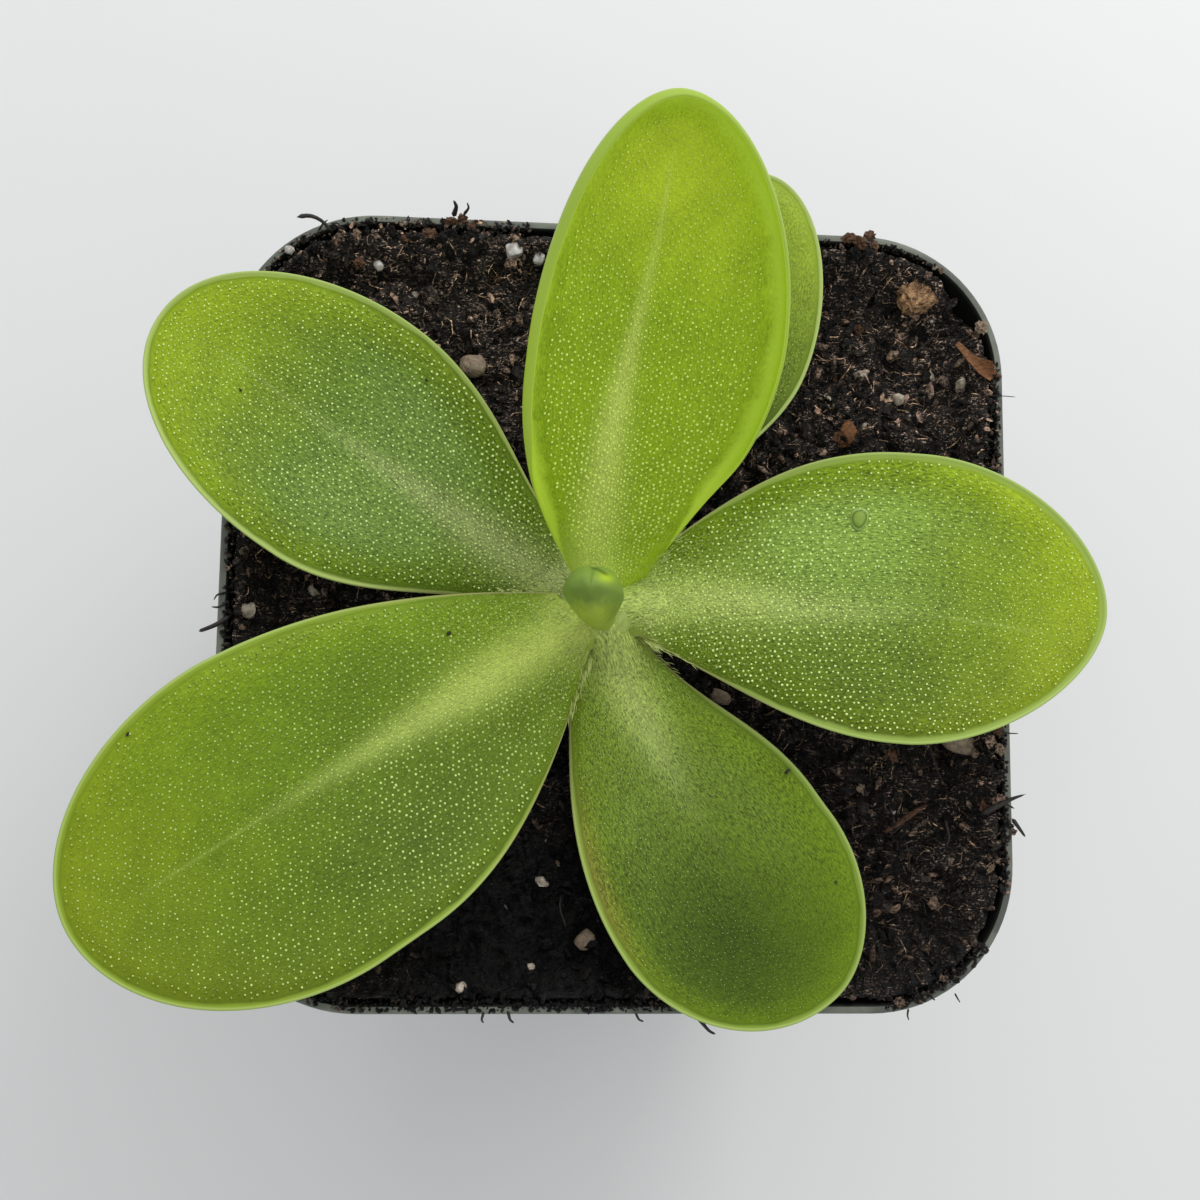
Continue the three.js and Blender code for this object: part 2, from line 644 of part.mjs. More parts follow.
// Rings round a leaning axis: the lower half of them swell from the foot to the shoulder, and the
// upper half close in a dome. The cleft runs down the back and is deepest at the top.
function youngLeafGeometry() {
  const foot = new THREE.Vector3(
    CROWN.x + YOUNG.footX, CROWN.y + YOUNG.footY, STEM_TOP + CLEARANCE);
  const centre = (share) => new THREE.Vector3(
    foot.x + YOUNG.leanX * share, foot.y + YOUNG.leanY * share, foot.z + YOUNG.height * share);
  const rings = [];
  for (let row = 0; row <= YOUNG.rows; row += 1) {
    const climb = Math.min(1, 2 * row / YOUNG.rows);
    const dome = Math.max(0, 2 * row / YOUNG.rows - 1) * DOME_END;
    const share = mix(YOUNG.shoulder * climb, 1, Math.sin(dome));
    const swell = smooth(climb, 0, 1);
    const halfWidth = mix(YOUNG.baseHalf, YOUNG.width / 2, swell) * Math.cos(dome);
    const halfDepth = mix(YOUNG.baseHalf, YOUNG.depth / 2, swell) * Math.cos(dome);
    const middle = centre(share);
    const ring = [];
    for (let side = 0; side < YOUNG.sides; side += 1) {
      const around = side / YOUNG.sides * 2 * Math.PI;
      const off = angleBetween(around, degrees(YOUNG.cleftAzimuth)) / degrees(YOUNG.cleftSpread);
      const grown = smooth(share, YOUNG.cleftStart, YOUNG.cleftGrown);
      const cleft = 1 - YOUNG.cleftDepth * grown * Math.exp(-off * off);
      const pinch = 1 - YOUNG.keel * swell * Math.max(0, -Math.sin(around));
      ring.push(new THREE.Vector3(
        middle.x + halfWidth * cleft * pinch * Math.cos(around),
        middle.y + halfDepth * cleft * Math.sin(around),
        middle.z));
    }
    rings.push(ring);
  }
  return loft(rings, foot, centre(DOME_POLE));
}

// ---------------------------------------------------------------- bits on the soil

// A rough lump: a finely divided ball with each point pushed in or out, squeezed to size.
function bitGeometry(bit, seed) {
  const lump = merged(new THREE.IcosahedronGeometry(0.5, 1));
  const points = lump.attributes.position;
  const point = new THREE.Vector3();
  for (let k = 0; k < points.count; k += 1) {
    point.fromBufferAttribute(points, k);
    point.multiplyScalar(1 + BIT_ROUGHNESS * (2 * scatter(k, 0, seed) - 1));
    points.setXYZ(k, point.x * bit.size[0], point.y * bit.size[1], point.z * bit.size[2]);
  }
  return lump;
}

// A bit lies on the highest soil under it, sunk in by a share of its height.
function bitPlace(bit) {
  const [x, y] = bit.at;
  const [length, , height] = bit.size;
  const reach = length / 2;
  const level = Math.max(
    soilHeight(x, y), soilHeight(x + reach, y), soilHeight(x - reach, y));
  return new THREE.Vector3(x, y, level + height * (0.5 - BIT_SUNK));
}

// The seat that a bit lies in: the bit itself, larger by the clearance all round.
function bitSeat(bit, geometry) {
  const seat = geometry.clone();
  const grow = (size) => 1 + 2 * CLEARANCE / (size * (1 - BIT_ROUGHNESS));
  seat.scale(grow(bit.size[0]), grow(bit.size[1]), grow(bit.size[2]));
  seat.rotateZ(degrees(bit.turn));
  const place = bitPlace(bit);
  seat.translate(place.x, place.y, place.z);
  return seat;
}

// ---------------------------------------------------------------- the whole plant

const plant = new THREE.Group();
plant.name = "butterwort";

plant.add(mesh("pot", potGeometry(), 0x343a36, 0.5));
plant.add(mesh("crown", crownGeometry(), 0xa5ab62, 0.7));
for (const [name, leaf] of Object.entries(LEAVES)) {
  plant.add(mesh(name, leafGeometry(leaf), leaf.color, 0.45));
}
plant.add(mesh("young_leaf", youngLeafGeometry(), 0x72903a, 0.45));

let soil = toSolid(soilGeometry()).subtract(toSolid(crownHole()));
Object.entries(BITS).forEach(([name, bit], index) => {
  const geometry = bitGeometry(bit, index + 1);
  soil = soil.subtract(toSolid(bitSeat(bit, geometry)));
  const piece = mesh(name, geometry, bit.color, 0.85);
  piece.position.copy(bitPlace(bit));
  piece.rotation.z = degrees(bit.turn);
  plant.add(piece);
});
plant.add(mesh("soil", toGeometry(soil), 0x2a211b, 0.95));

export default plant;
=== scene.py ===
import math

import bpy
import numpy as np
from mathutils import Euler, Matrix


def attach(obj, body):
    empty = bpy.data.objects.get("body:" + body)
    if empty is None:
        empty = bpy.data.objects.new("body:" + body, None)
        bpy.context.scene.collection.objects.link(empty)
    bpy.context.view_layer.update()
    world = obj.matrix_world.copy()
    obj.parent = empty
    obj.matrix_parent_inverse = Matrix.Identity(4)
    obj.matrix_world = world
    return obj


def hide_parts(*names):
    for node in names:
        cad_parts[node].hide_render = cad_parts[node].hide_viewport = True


# A butterwort in a square nursery pot: six spoon-shaped leaves set with dew glands and one young,
# still folded leaf, in peat. Lengths are millimetres until a mesh is made; angles are degrees.
# +Z is up, +X right, +Y to the back. Every curved surface below is a grid of points worked out
# as whole arrays.

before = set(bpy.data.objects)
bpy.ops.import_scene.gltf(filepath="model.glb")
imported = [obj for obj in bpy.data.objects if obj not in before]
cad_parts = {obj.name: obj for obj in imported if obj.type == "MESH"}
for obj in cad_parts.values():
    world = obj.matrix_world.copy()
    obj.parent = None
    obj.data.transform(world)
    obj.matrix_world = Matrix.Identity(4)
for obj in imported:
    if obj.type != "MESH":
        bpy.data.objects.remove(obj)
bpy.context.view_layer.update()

MM = 0.001
BODY = "root"
CLEARANCE = 0.3

# ---------------------------------------------------------------- sizes

POT_HEIGHT = 76
RIM_WIDTH = 76
FOOT_WIDTH = 56
RIM_CORNER = 14
FOOT_CORNER = 9
WALL = 0.8
FLOOR = 1.6
FOOT_EDGE = 1.4
COLLAR_HEIGHT = 8
COLLAR_STEP = 0.4
RIM_EDGE = 0.3
LIP = 0.55  # inset at which the rim's top ends, before it slopes down to the wall
DRAIN_RADIUS = 2.5
DRAIN_INSET = 17
DRAIN_SLOT = (3.5, 8)
DRAIN_SLOT_INSET = 22

SOIL_LEVEL = 70.1
SOIL_EDGE_RISE = 3.1
SOIL_BANKS = [(128, 1.7, 42), (27, 1.3, 16)]  # azimuth, height, spread
SOIL_SIDE_GAP = 0.12
SOIL_TOP_LEVEL = 74.5  # the height at which the soil's top meets the wall
CLUMP_SIZE = 6.5
CLUMP_HEIGHT = 0.45
CRUMB_SIZE = 2.83
CRUMB_HEIGHT = 0.3
SOIL_SEED = 7
SOIL_FOOT_SHRINK = 0.95
SOIL_GRAINS = [(2.3, 0.55), (1.15, 0.5), (0.6, 0.42)]  # size and height of the fine relief
SOIL_BRIM, SOIL_BRIM_START = 75.9, 0.90  # how high it is heaped at the wall, and from where
BRIM_SIZE, BRIM_HEIGHT = 3.1, 0.4  # the humps along that heap
SOIL_HOLLOW = (42.3, 3.4)  # azimuth and spread of the corner where it has drawn back
HOLLOW_SHARE = 0.65  # how much of the heap is missing there
SOIL_LIMIT = POT_HEIGHT + 0.1  # no grain of it stands higher
RIM_SPILLS = [  # stretches of the rim: azimuths, how many crumbs, and how near its outer edge
    (143, 205, 520, 0.5), (214, 283, 1100, 0.3), (304, 318, 240, 0.3), (104, 146, 420, 0.3),
    (48, 62, 90, 0.6), (-36, 34, 1000, 0.45)]
SPILL_SEED = 14
SPILL_INMOST = 1.7  # how far in from the outer edge the last of them lie
SPILL_SIZES = (0.08, 0.3)  # radii

CROWN = np.array([-1.7, -0.3])
STEM_TOP = 77.2

LEAF_ROOT_RADIUS = 3.3  # how far from the crown's axis a midrib starts
RIB_THICKNESS, BLADE_THICKNESS, MARGIN_THICKNESS = 1.3, 0.85, 0.36
RIB_SPREAD, RIB_FADE = 2.2, 0.8
CHANNEL_DEPTH, CHANNEL_SPREAD, CHANNEL_FADE = 0.35, 1.8, 0.7
ROLL_START, ROLL_GROWN = 0.08, 0.4
ROLL_BASE_RADIUS, ROLL_BASE_TURN = 0.6, 0.15

# ---------------------------------------------------------------- numbers


def lerp(a, b, share):
    """The value a share of the way from a to b."""
    return a + (b - a) * share


def ease(x, low, high):
    """0 below low, 1 above high, and 3t^2 - 2t^3 between them."""
    t = np.clip((x - low) / (high - low), 0, 1)
    return t * t * (3 - 2 * t)


def bump(x, spread):
    """A bell: e to the minus square of x over its spread."""
    return np.exp(-((x / spread) ** 2))


def unit(v):
    """Vectors over their own length."""
    return v / np.maximum(np.linalg.norm(v, axis=-1, keepdims=True), 1e-12)


def angle_between(a, b):
    """The smaller turn between two azimuths in radians, from 0 to pi."""
    turn = np.abs(a - b) % (2 * math.pi)
    return np.minimum(turn, 2 * math.pi - turn)


def scatter(i, j, seed, k=0.0):
    """A number from 0 to 1 for whole numbers i, j, k: the fraction of a very steep sine."""
    wave = np.sin(i * 127.1 + j * 311.7 + k * 269.5 + seed * 74.7) * 43758.5453
    return wave - np.floor(wave)


def noise(x, y, seed):
    """Smooth noise from -1 to 1: random corner values of a unit grid, eased between them."""
    i, j = np.floor(x), np.floor(y)
    fx, fy = ease(x - i, 0, 1), ease(y - j, 0, 1)
    near = lerp(scatter(i, j, seed), scatter(i + 1, j, seed), fx)
    far = lerp(scatter(i, j + 1, seed), scatter(i + 1, j + 1, seed), fx)
    return 2 * lerp(near, far, fy) - 1


def turned_noise(x, y, size, turn, seed):
    """Noise with humps of a size, on a grid turned by an angle in radians."""
    c, s = math.cos(turn) / size, math.sin(turn) / size
    return noise(x * c - y * s + seed, x * s + y * c - seed, seed)


def noise3(p, seed):
    """The same noise in space, for points p (..., 3)."""
    base = np.floor(p)
    f = ease(p - base, 0, 1)
    i, j, k = base[..., 0], base[..., 1], base[..., 2]

    def layer(up):
        near = lerp(scatter(i, j, seed, k + up), scatter(i + 1, j, seed, k + up), f[..., 0])
        far = lerp(scatter(i, j + 1, seed, k + up), scatter(i + 1, j + 1, seed, k + up), f[..., 0])
        return lerp(near, far, f[..., 1])

    return 2 * lerp(layer(0), layer(1), f[..., 2]) - 1


def random_turns(rng, count):
    """Rotation matrices (count, 3, 3) spread evenly over all directions, from random quaternions."""
    w, x, y, z = unit(rng.normal(size=(count, 4))).T
    rows = [
        [1 - 2 * (y * y + z * z), 2 * (x * y - w * z), 2 * (x * z + w * y)],
        [2 * (x * y + w * z), 1 - 2 * (x * x + z * z), 2 * (y * z - w * x)],
        [2 * (x * z - w * y), 2 * (y * z + w * x), 1 - 2 * (x * x + y * y)],
    ]
    return np.moveaxis(np.array(rows), -1, 0)


# ---------------------------------------------------------------- meshes

STRAND_ASIDE = [0.31, 0.17, 0.93]  # a direction that no strand follows


def make_piece(name, points, faces, paint, marks=None, smooth=True, crease=None):
    """A mesh object from points (n, 3) and a list of face arrays, each (m, 3) or (m, 4).
    Marks are values kept on the points for the materials: (n,) numbers or (n, 3) vectors.
    A crease is the angle in degrees past which an edge of a smooth piece stays sharp."""
    mesh = bpy.data.meshes.new(name)
    sizes = np.concatenate([np.full(len(f), f.shape[1]) for f in faces])
    corners = np.concatenate([f.ravel() for f in faces])
    mesh.vertices.add(len(points))
    mesh.vertices.foreach_set("co", (points * MM).astype(np.float32).ravel())
    mesh.loops.add(len(corners))
    mesh.loops.foreach_set("vertex_index", corners.astype(np.int32))
    mesh.polygons.add(len(sizes))
    mesh.polygons.foreach_set("loop_start", (np.cumsum(sizes) - sizes).astype(np.int32))
    mesh.polygons.foreach_set("use_smooth", np.full(len(sizes), smooth))
    for mark, values in (marks or {}).items():
        kind, key = ("FLOAT", "value") if values.ndim == 1 else ("FLOAT_VECTOR", "vector")
        attribute = mesh.attributes.new(mark, kind, "POINT")
        attribute.data.foreach_set(key, values.astype(np.float32).ravel())
    mesh.update(calc_edges=True)
    if crease:
        mesh.set_sharp_from_angle(angle=math.radians(crease))
    piece = bpy.data.objects.new(name, mesh)
    piece.data.materials.append(paint)
    bpy.context.scene.collection.objects.link(piece)
    return piece


def hand_over(piece, slot, *nodes):
    """The piece rides on the pot's body and stands for CAD nodes; the slot is not used."""
    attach(piece, BODY)
    if nodes:
        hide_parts(*nodes)
    return piece


def grid_faces(rows, columns, wrap=False):
    """Quads of points numbered row by row; wrap joins the last column to the first."""
    row = np.arange(rows - 1)[:, None] * columns
    k = np.arange(columns if wrap else columns - 1)[None]
    beside = (k + 1) % columns
    quads = np.stack([row + k, row + beside, row + beside + columns, row + k + columns], -1)
    return quads.reshape(-1, 4)


def loft(rings, first, last):
    """Skin through rings (rows, around, 3), anticlockwise and going up, with a point at each end."""
    rows, around = rings.shape[:2]
    points = np.concatenate([[first], rings.reshape(-1, 3), [last]])
    k = np.arange(around)
    beside = (k + 1) % around
    top = 1 + (rows - 1) * around
    start = np.stack([np.zeros_like(k), 1 + beside, 1 + k], -1)
    end = np.stack([np.full_like(k, len(points) - 1), top + k, top + beside], -1)
    return points, [grid_faces(rows, around, wrap=True) + 1, start, end]


def repeat_faces(faces, points_each, count):
    """The faces of one shape, numbered for count copies that follow each other."""
    offset = (np.arange(count) * points_each)[:, None, None]
    return [(f[None] + offset).reshape(-1, f.shape[1]) for f in faces]


def circles(axes, aside, sides):
    """Unit circles square to axes (..., 3), as points (..., sides, 3); each starts square to a
    direction aside."""
    sideways = unit(np.cross(axes, aside))
    across = np.cross(axes, sideways)
    angle = (np.arange(sides) * 2 * math.pi / sides)[:, None]
    return sideways[..., None, :] * np.cos(angle) + across[..., None, :] * np.sin(angle)


def strands(paths, radii, sides):
    """Round strands along paths (n, m, 3) with radii (n, m): a ring of points at each inner path
    point, square to the strand, and the two path ends as its tips."""
    count, length = paths.shape[:2]
    along = unit(paths[:, 2:] - paths[:, :-2])
    rings = paths[:, 1:-1, None] + circles(along, STRAND_ASIDE, sides) * radii[:, 1:-1, None, None]
    _, faces = loft(rings[0], paths[0, 0], paths[0, -1])
    points_each = 2 + (length - 2) * sides
    points = np.concatenate([paths[:, :1], rings.reshape(count, -1, 3), paths[:, -1:]], axis=1)
    return points.reshape(-1, 3), repeat_faces(faces, points_each, count)


def ball(levels):
    """An icosahedron's points and faces, each face split in four as often as levels says and its
    points pushed out to a radius of 1."""
    g = (1 + 5 ** 0.5) / 2
    points = [(-1, g, 0), (1, g, 0), (-1, -g, 0), (1, -g, 0), (0, -1, g), (0, 1, g),
              (0, -1, -g), (0, 1, -g), (g, 0, -1), (g, 0, 1), (-g, 0, -1), (-g, 0, 1)]
    faces = [(0, 11, 5), (0, 5, 1), (0, 1, 7), (0, 7, 10), (0, 10, 11), (1, 5, 9), (5, 11, 4),
             (11, 10, 2), (10, 7, 6), (7, 1, 8), (3, 9, 4), (3, 4, 2), (3, 2, 6), (3, 6, 8),
             (3, 8, 9), (4, 9, 5), (2, 4, 11), (6, 2, 10), (8, 6, 7), (9, 8, 1)]
    points, faces = unit(np.array(points, float)), np.array(faces)
    for _ in range(levels):
        a, b, c = faces.T
        edges = np.concatenate([faces[:, [0, 1]], faces[:, [1, 2]], faces[:, [2, 0]]])
        ends, place = np.unique(np.sort(edges, axis=1), axis=0, return_inverse=True)
        ab, bc, ca = len(points) + place.reshape(3, -1)
        points = unit(np.concatenate([points, points[ends].sum(1)]))
        split = (a, ab, ca), (b, bc, ab), (c, ca, bc), (ab, bc, ca)
        faces = np.concatenate([np.stack(corners, -1) for corners in split])
    return points, faces


# ---------------------------------------------------------------- shader tools


class Tree:
    """Short calls for a node tree. Where a value is another node's output, it is linked."""

    def __init__(self, tree):
        self.tree = tree

    def feed(self, socket, value):
        """Link the socket to another node's output, or set its own value or colour."""
        if isinstance(value, bpy.types.NodeSocket):
            self.tree.links.new(value, socket)
        elif socket.type == "RGBA" and len(value) == 3:
            socket.default_value = (*value, 1)
        else:
            socket.default_value = value

    def node(self, kind, inputs=None, **settings):
        """A new shader node with its settings made and its inputs fed."""
        made = self.tree.nodes.new("ShaderNode" + kind)
        for key, value in settings.items():
            setattr(made, key, value)
        for key, value in (inputs or {}).items():
            self.feed(made.inputs[key], value)
        return made

    def math(self, operation, a, b=0.0):
        return self.node("Math", {0: a, 1: b}, operation=operation).outputs[0]

    def plus(self, a, b):
        return self.math("ADD", a, b)

    def minus(self, a, b):
        return self.math("SUBTRACT", a, b)

    def times(self, a, b):
        return self.math("MULTIPLY", a, b)

    def share(self, value, low, high):
        """0 at low, 1 at high, eased between them; low may be the larger."""
        made = self.node("MapRange", {"Value": value, "From Min": low, "From Max": high},
                         interpolation_type="SMOOTHSTEP")
        return made.outputs[0]

    def bell(self, value, spread):
        """e to the minus square of value over spread."""
        ratio = self.math("DIVIDE", value, spread)
        square = self.times(ratio, ratio)
        return self.math("POWER", math.e, self.times(square, -1.0))

    def mix(self, share, a, b, blend="MIX"):
        """Colour a, with a share of it given over to b."""
        made = self.node("Mix", {0: share, 6: a, 7: b}, data_type="RGBA", blend_type=blend)
        return made.outputs[2]

    def noise(self, place, size, detail=2.0, seed=0.0, roughness=0.5):
        """Noise from 0 to 1 with humps of a size, in the place's own unit, moved by a seed.
        Detail is how many finer layers it has, and roughness how strong each of them is."""
        if seed:
            place = self.node("VectorMath", {0: place, 1: (seed, seed, seed)}).outputs[0]
        made = self.node("TexNoise", {"Vector": place, "Scale": 1 / size, "Detail": detail,
                                      "Roughness": roughness})
        return made.outputs[0]

    def mark(self, name):
        """The marks of that name, as make_piece keeps them on the points."""
        return self.node("Attribute", attribute_name=name)

    def objects_place(self):
        """Object coordinates in millimetres."""
        place = self.node("TexCoord").outputs["Object"]
        return self.node("VectorMath", {0: place, "Scale": 1 / MM}, operation="SCALE").outputs[0]

    def stretched(self, place, scale):
        """A place with each of its parts multiplied by its own scale."""
        return self.node("VectorMath", {0: place, 1: scale}, operation="MULTIPLY").outputs[0]

    def shaded(self, colour, light):
        """A colour made darker or lighter by a factor."""
        grey = self.node("CombineColor", {0: light, 1: light, 2: light}).outputs[0]
        return self.mix(1.0, colour, grey, "MULTIPLY")


def new_group(name, inputs, outputs):
    """An empty shader group with named sockets: the kind of each, and an input's first value."""
    group = bpy.data.node_groups.new(name, "ShaderNodeTree")
    for label, value in inputs.items():
        kind = "NodeSocketColor" if isinstance(value, tuple) else "NodeSocketFloat"
        socket = group.interface.new_socket(label, in_out="INPUT", socket_type=kind)
        socket.default_value = (*value, 1) if isinstance(value, tuple) else value
    for label, kind in outputs.items():
        group.interface.new_socket(label, in_out="OUTPUT", socket_type="NodeSocket" + kind)
    tree = Tree(group)
    given = group.nodes.new("NodeGroupInput").outputs
    results = group.nodes.new("NodeGroupOutput").inputs
    return tree, given, results, group


def new_material(name, **plain):
    """A Principled material, with its plain numbers set on the shader's own sockets."""
    paint = bpy.data.materials.new(name)
    paint.use_nodes = True
    paint.node_tree.nodes.clear()
    tree = Tree(paint.node_tree)
    skin = tree.node("BsdfPrincipled", plain)
    tree.node("OutputMaterial", {"Surface": skin.outputs[0]})
    return paint, tree, skin.inputs


def relief(tree, height, distance, strength=1.0):
    """A bump normal from a height from 0 to 1 and its full height in millimetres."""
    made = tree.node("Bump", {"Height": height, "Distance": distance * MM, "Strength": strength})
    return made.outputs[0]


# ---------------------------------------------------------------- rounded squares


def rounded_square(half, corner, z, per_flat, per_corner):
    """Points round a square with round corners, anticlockwise: four flats and four arcs."""
    flat = half - corner
    straight = np.linspace(-flat, flat, per_flat, endpoint=False)
    arc = np.linspace(0, math.pi / 2, per_corner, endpoint=False)
    x = np.concatenate([np.full(per_flat, half), flat + corner * np.cos(arc)])
    y = np.concatenate([straight, flat + corner * np.sin(arc)])
    turn = np.arange(4)[:, None] * math.pi / 2
    around = [x * np.cos(turn) - y * np.sin(turn), x * np.sin(turn) + y * np.cos(turn)]
    ring = np.stack([*around, np.full_like(around[0], z)], -1)
    return ring.reshape(-1, 3)


def square_reach(half, corner, angle):
    """Distance from the middle to the edge of a rounded square: to its flat, or to its arc."""
    c, s = np.abs(np.cos(angle)), np.abs(np.sin(angle))
    flat = half - corner
    straight = half / np.maximum(c, s)
    along = flat * (c + s)
    arc = along + np.sqrt(np.maximum(along ** 2 - 2 * flat ** 2 + corner ** 2, 0))
    return np.where(straight * np.minimum(c, s) <= flat, straight, arc)


def wall_at(z):
    """Half width and corner radius of the pot's outer wall at height z, without its collar."""
    share = z / POT_HEIGHT
    half = lerp(FOOT_WIDTH, RIM_WIDTH - 2 * COLLAR_STEP, share) / 2
    return half, lerp(FOOT_CORNER, RIM_CORNER - COLLAR_STEP, share)


# ---------------------------------------------------------------- pot

POT_PER_FLAT, POT_PER_CORNER = 10, 20
EDGE_STEPS = 5
DRAIN_SIDES = 32
POT_SHARP = 50  # degrees: sharper edges are not smoothed over


def rounding(z, inset, radius, start, end):
    """Points on an arc about (z, inset) between two angles in degrees, as height and inset
    pairs."""
    angle = np.radians(np.linspace(start, end, EDGE_STEPS))
    return [(z + radius * np.sin(a), inset - radius * np.cos(a)) for a in angle]


def pot_profile():
    """Height and inset along the pot's skin: up the outside, over the rim, down the inside."""
    collar_foot = POT_HEIGHT - COLLAR_HEIGHT
    top = POT_HEIGHT - RIM_EDGE
    outer = rounding(top, RIM_EDGE - COLLAR_STEP, RIM_EDGE, 0, 90)
    inner = rounding(top, LIP - RIM_EDGE, RIM_EDGE, 90, 150)
    return [
        (0, 12), (0, 4), (0, FOOT_EDGE),
        *rounding(FOOT_EDGE, FOOT_EDGE, FOOT_EDGE, -80, 0),
        *[(z, 0) for z in np.linspace(8, collar_foot - 1.2, 10)],
        (collar_foot - COLLAR_STEP, 0), (collar_foot - 0.25, -0.08),
        (collar_foot - 0.08, -COLLAR_STEP + 0.06), (collar_foot + 0.1, -COLLAR_STEP),
        (collar_foot + 1, -COLLAR_STEP), (top - 1, -COLLAR_STEP),
        *outer, *inner,
        (top - 1.0, WALL - 0.1), (top - 1.6, WALL), (60, WALL), (40, WALL), (20, WALL),
        (FLOOR + FOOT_EDGE + 0.6, WALL), (FLOOR + FOOT_EDGE, WALL),
        (FLOOR + 0.4, WALL + 0.4), (FLOOR, WALL + FOOT_EDGE),
        (FLOOR, WALL + 4), (FLOOR, WALL + 12),
    ]


def drain_cutters():
    """Points and faces of the cutters: a round hole to each corner, a slot to each side."""
    depth = 3 * FLOOR
    shapes = []
    for side in range(4):
        turn = side * math.pi / 2
        spin = np.array([[math.cos(turn), -math.sin(turn)], [math.sin(turn), math.cos(turn)]])
        around = np.linspace(0, 2 * math.pi, DRAIN_SIDES, endpoint=False)
        hole = DRAIN_INSET + DRAIN_RADIUS * np.stack([np.cos(around), np.sin(around)], -1)
        wide, long = DRAIN_SLOT[0] / 2, DRAIN_SLOT[1] / 2
        slot = np.array([(wide, -long), (wide, long), (-wide, long), (-wide, -long)])
        for corners in (hole, slot + [DRAIN_SLOT_INSET, 0]):
            flat = corners @ spin.T
            rings = np.stack([np.column_stack([flat, np.full(len(flat), z)])
                              for z in (-depth, depth)])
            middle = flat.mean(0)
            shapes.append(loft(rings, (*middle, -depth), (*middle, depth)))
    return shapes


def make_pot(paint):
    """The profile carried round the rounded square, with the drains cut out of its floor."""
    rings = []
    for z, inset in pot_profile():
        half, corner = wall_at(z)
        rings.append(rounded_square(half - inset, max(corner - inset, 0.5), z,
                                    POT_PER_FLAT, POT_PER_CORNER))
    points, faces = loft(np.array(rings), (0, 0, 0), (0, 0, FLOOR))
    pot = make_piece("pot_shell", points, faces, paint)
    cutters = []
    for shape_points, shape_faces in drain_cutters():
        cutters.append(make_piece("drain_cutter", shape_points, shape_faces, paint))
        cut = pot.modifiers.new("drain", "BOOLEAN")
        cut.operation = "DIFFERENCE"
        cut.solver = "EXACT"
        cut.object = cutters[-1]
    graph = bpy.context.evaluated_depsgraph_get()
    pot.data = bpy.data.meshes.new_from_object(pot.evaluated_get(graph))
    pot.modifiers.clear()
    for cutter in cutters:
        bpy.data.objects.remove(cutter)
    pot.data.set_sharp_from_angle(angle=math.radians(POT_SHARP))
    return hand_over(pot, "pot", "pot")


# ---------------------------------------------------------------- soil

SOIL_CELLS = 280


def soil_bed(x, y):
    """Height of the soil's main form: a bowl that rises to the edges, banks heaped up against the
    rim, clumps and crumbs."""
    reach = 2 * np.maximum(np.abs(x), np.abs(y)) / RIM_WIDTH
    azimuth = np.arctan2(y, x)
    level = SOIL_LEVEL + SOIL_EDGE_RISE * reach ** 3
    for bank, height, spread in SOIL_BANKS:
        off = angle_between(azimuth, math.radians(bank))
        level = level + height * reach * reach * bump(off, math.radians(spread))
    level = level + CLUMP_HEIGHT * noise(x / CLUMP_SIZE, y / CLUMP_SIZE, SOIL_SEED)
    level = level + CRUMB_HEIGHT * noise(x / CRUMB_SIZE, y / CRUMB_SIZE, SOIL_SEED + 1)
    return np.minimum(level, POT_HEIGHT - RIM_EDGE)


def soil_grain(x, y):
    """The fine relief: at each size, round humps with sharp creases between them, which is the
    size of a noise without its sign."""
    level = 0
    for step, (size, height) in enumerate(SOIL_GRAINS):
        wave = turned_noise(x, y, size, 0.7 + step, SOIL_SEED + 3 + step)
        level = level + height * (1.6 * np.abs(wave) - 0.6)
    return level


def soil_top(x, y):
    """The bed, heaped against the wall except in one corner, with its grain."""
    level = soil_bed(x, y)
    azimuth = np.arctan2(y, x)
    ring = np.hypot(x, y) / soil_reach(azimuth, SOIL_TOP_LEVEL)
    hollow, spread = SOIL_HOLLOW
    off = angle_between(azimuth, math.radians(hollow))
    kept = 1 - HOLLOW_SHARE * bump(off, math.radians(spread))
    uneven = BRIM_HEIGHT * noise(x / BRIM_SIZE, y / BRIM_SIZE, SOIL_SEED + 2)
    heap = np.maximum(SOIL_BRIM + uneven - level, 0)
    level = level + heap * kept * ease(ring, SOIL_BRIM_START, 1)
    return np.minimum(level + soil_grain(x, y), SOIL_LIMIT)


def soil_reach(angle, level):
    """Distance from the middle to the soil's side at a level."""
    half, corner = wall_at(level)
    inset = WALL + SOIL_SIDE_GAP
    return square_reach(half - inset, corner - inset, angle)


def soil_spot(u, v, level):
    """x and y for u and v from -1 to 1: the square grid, squeezed ring by ring into the pot."""
    angle = np.arctan2(v, u)
    radius = np.maximum(np.abs(u), np.abs(v)) * soil_reach(angle, level)
    return radius * np.cos(angle), radius * np.sin(angle)


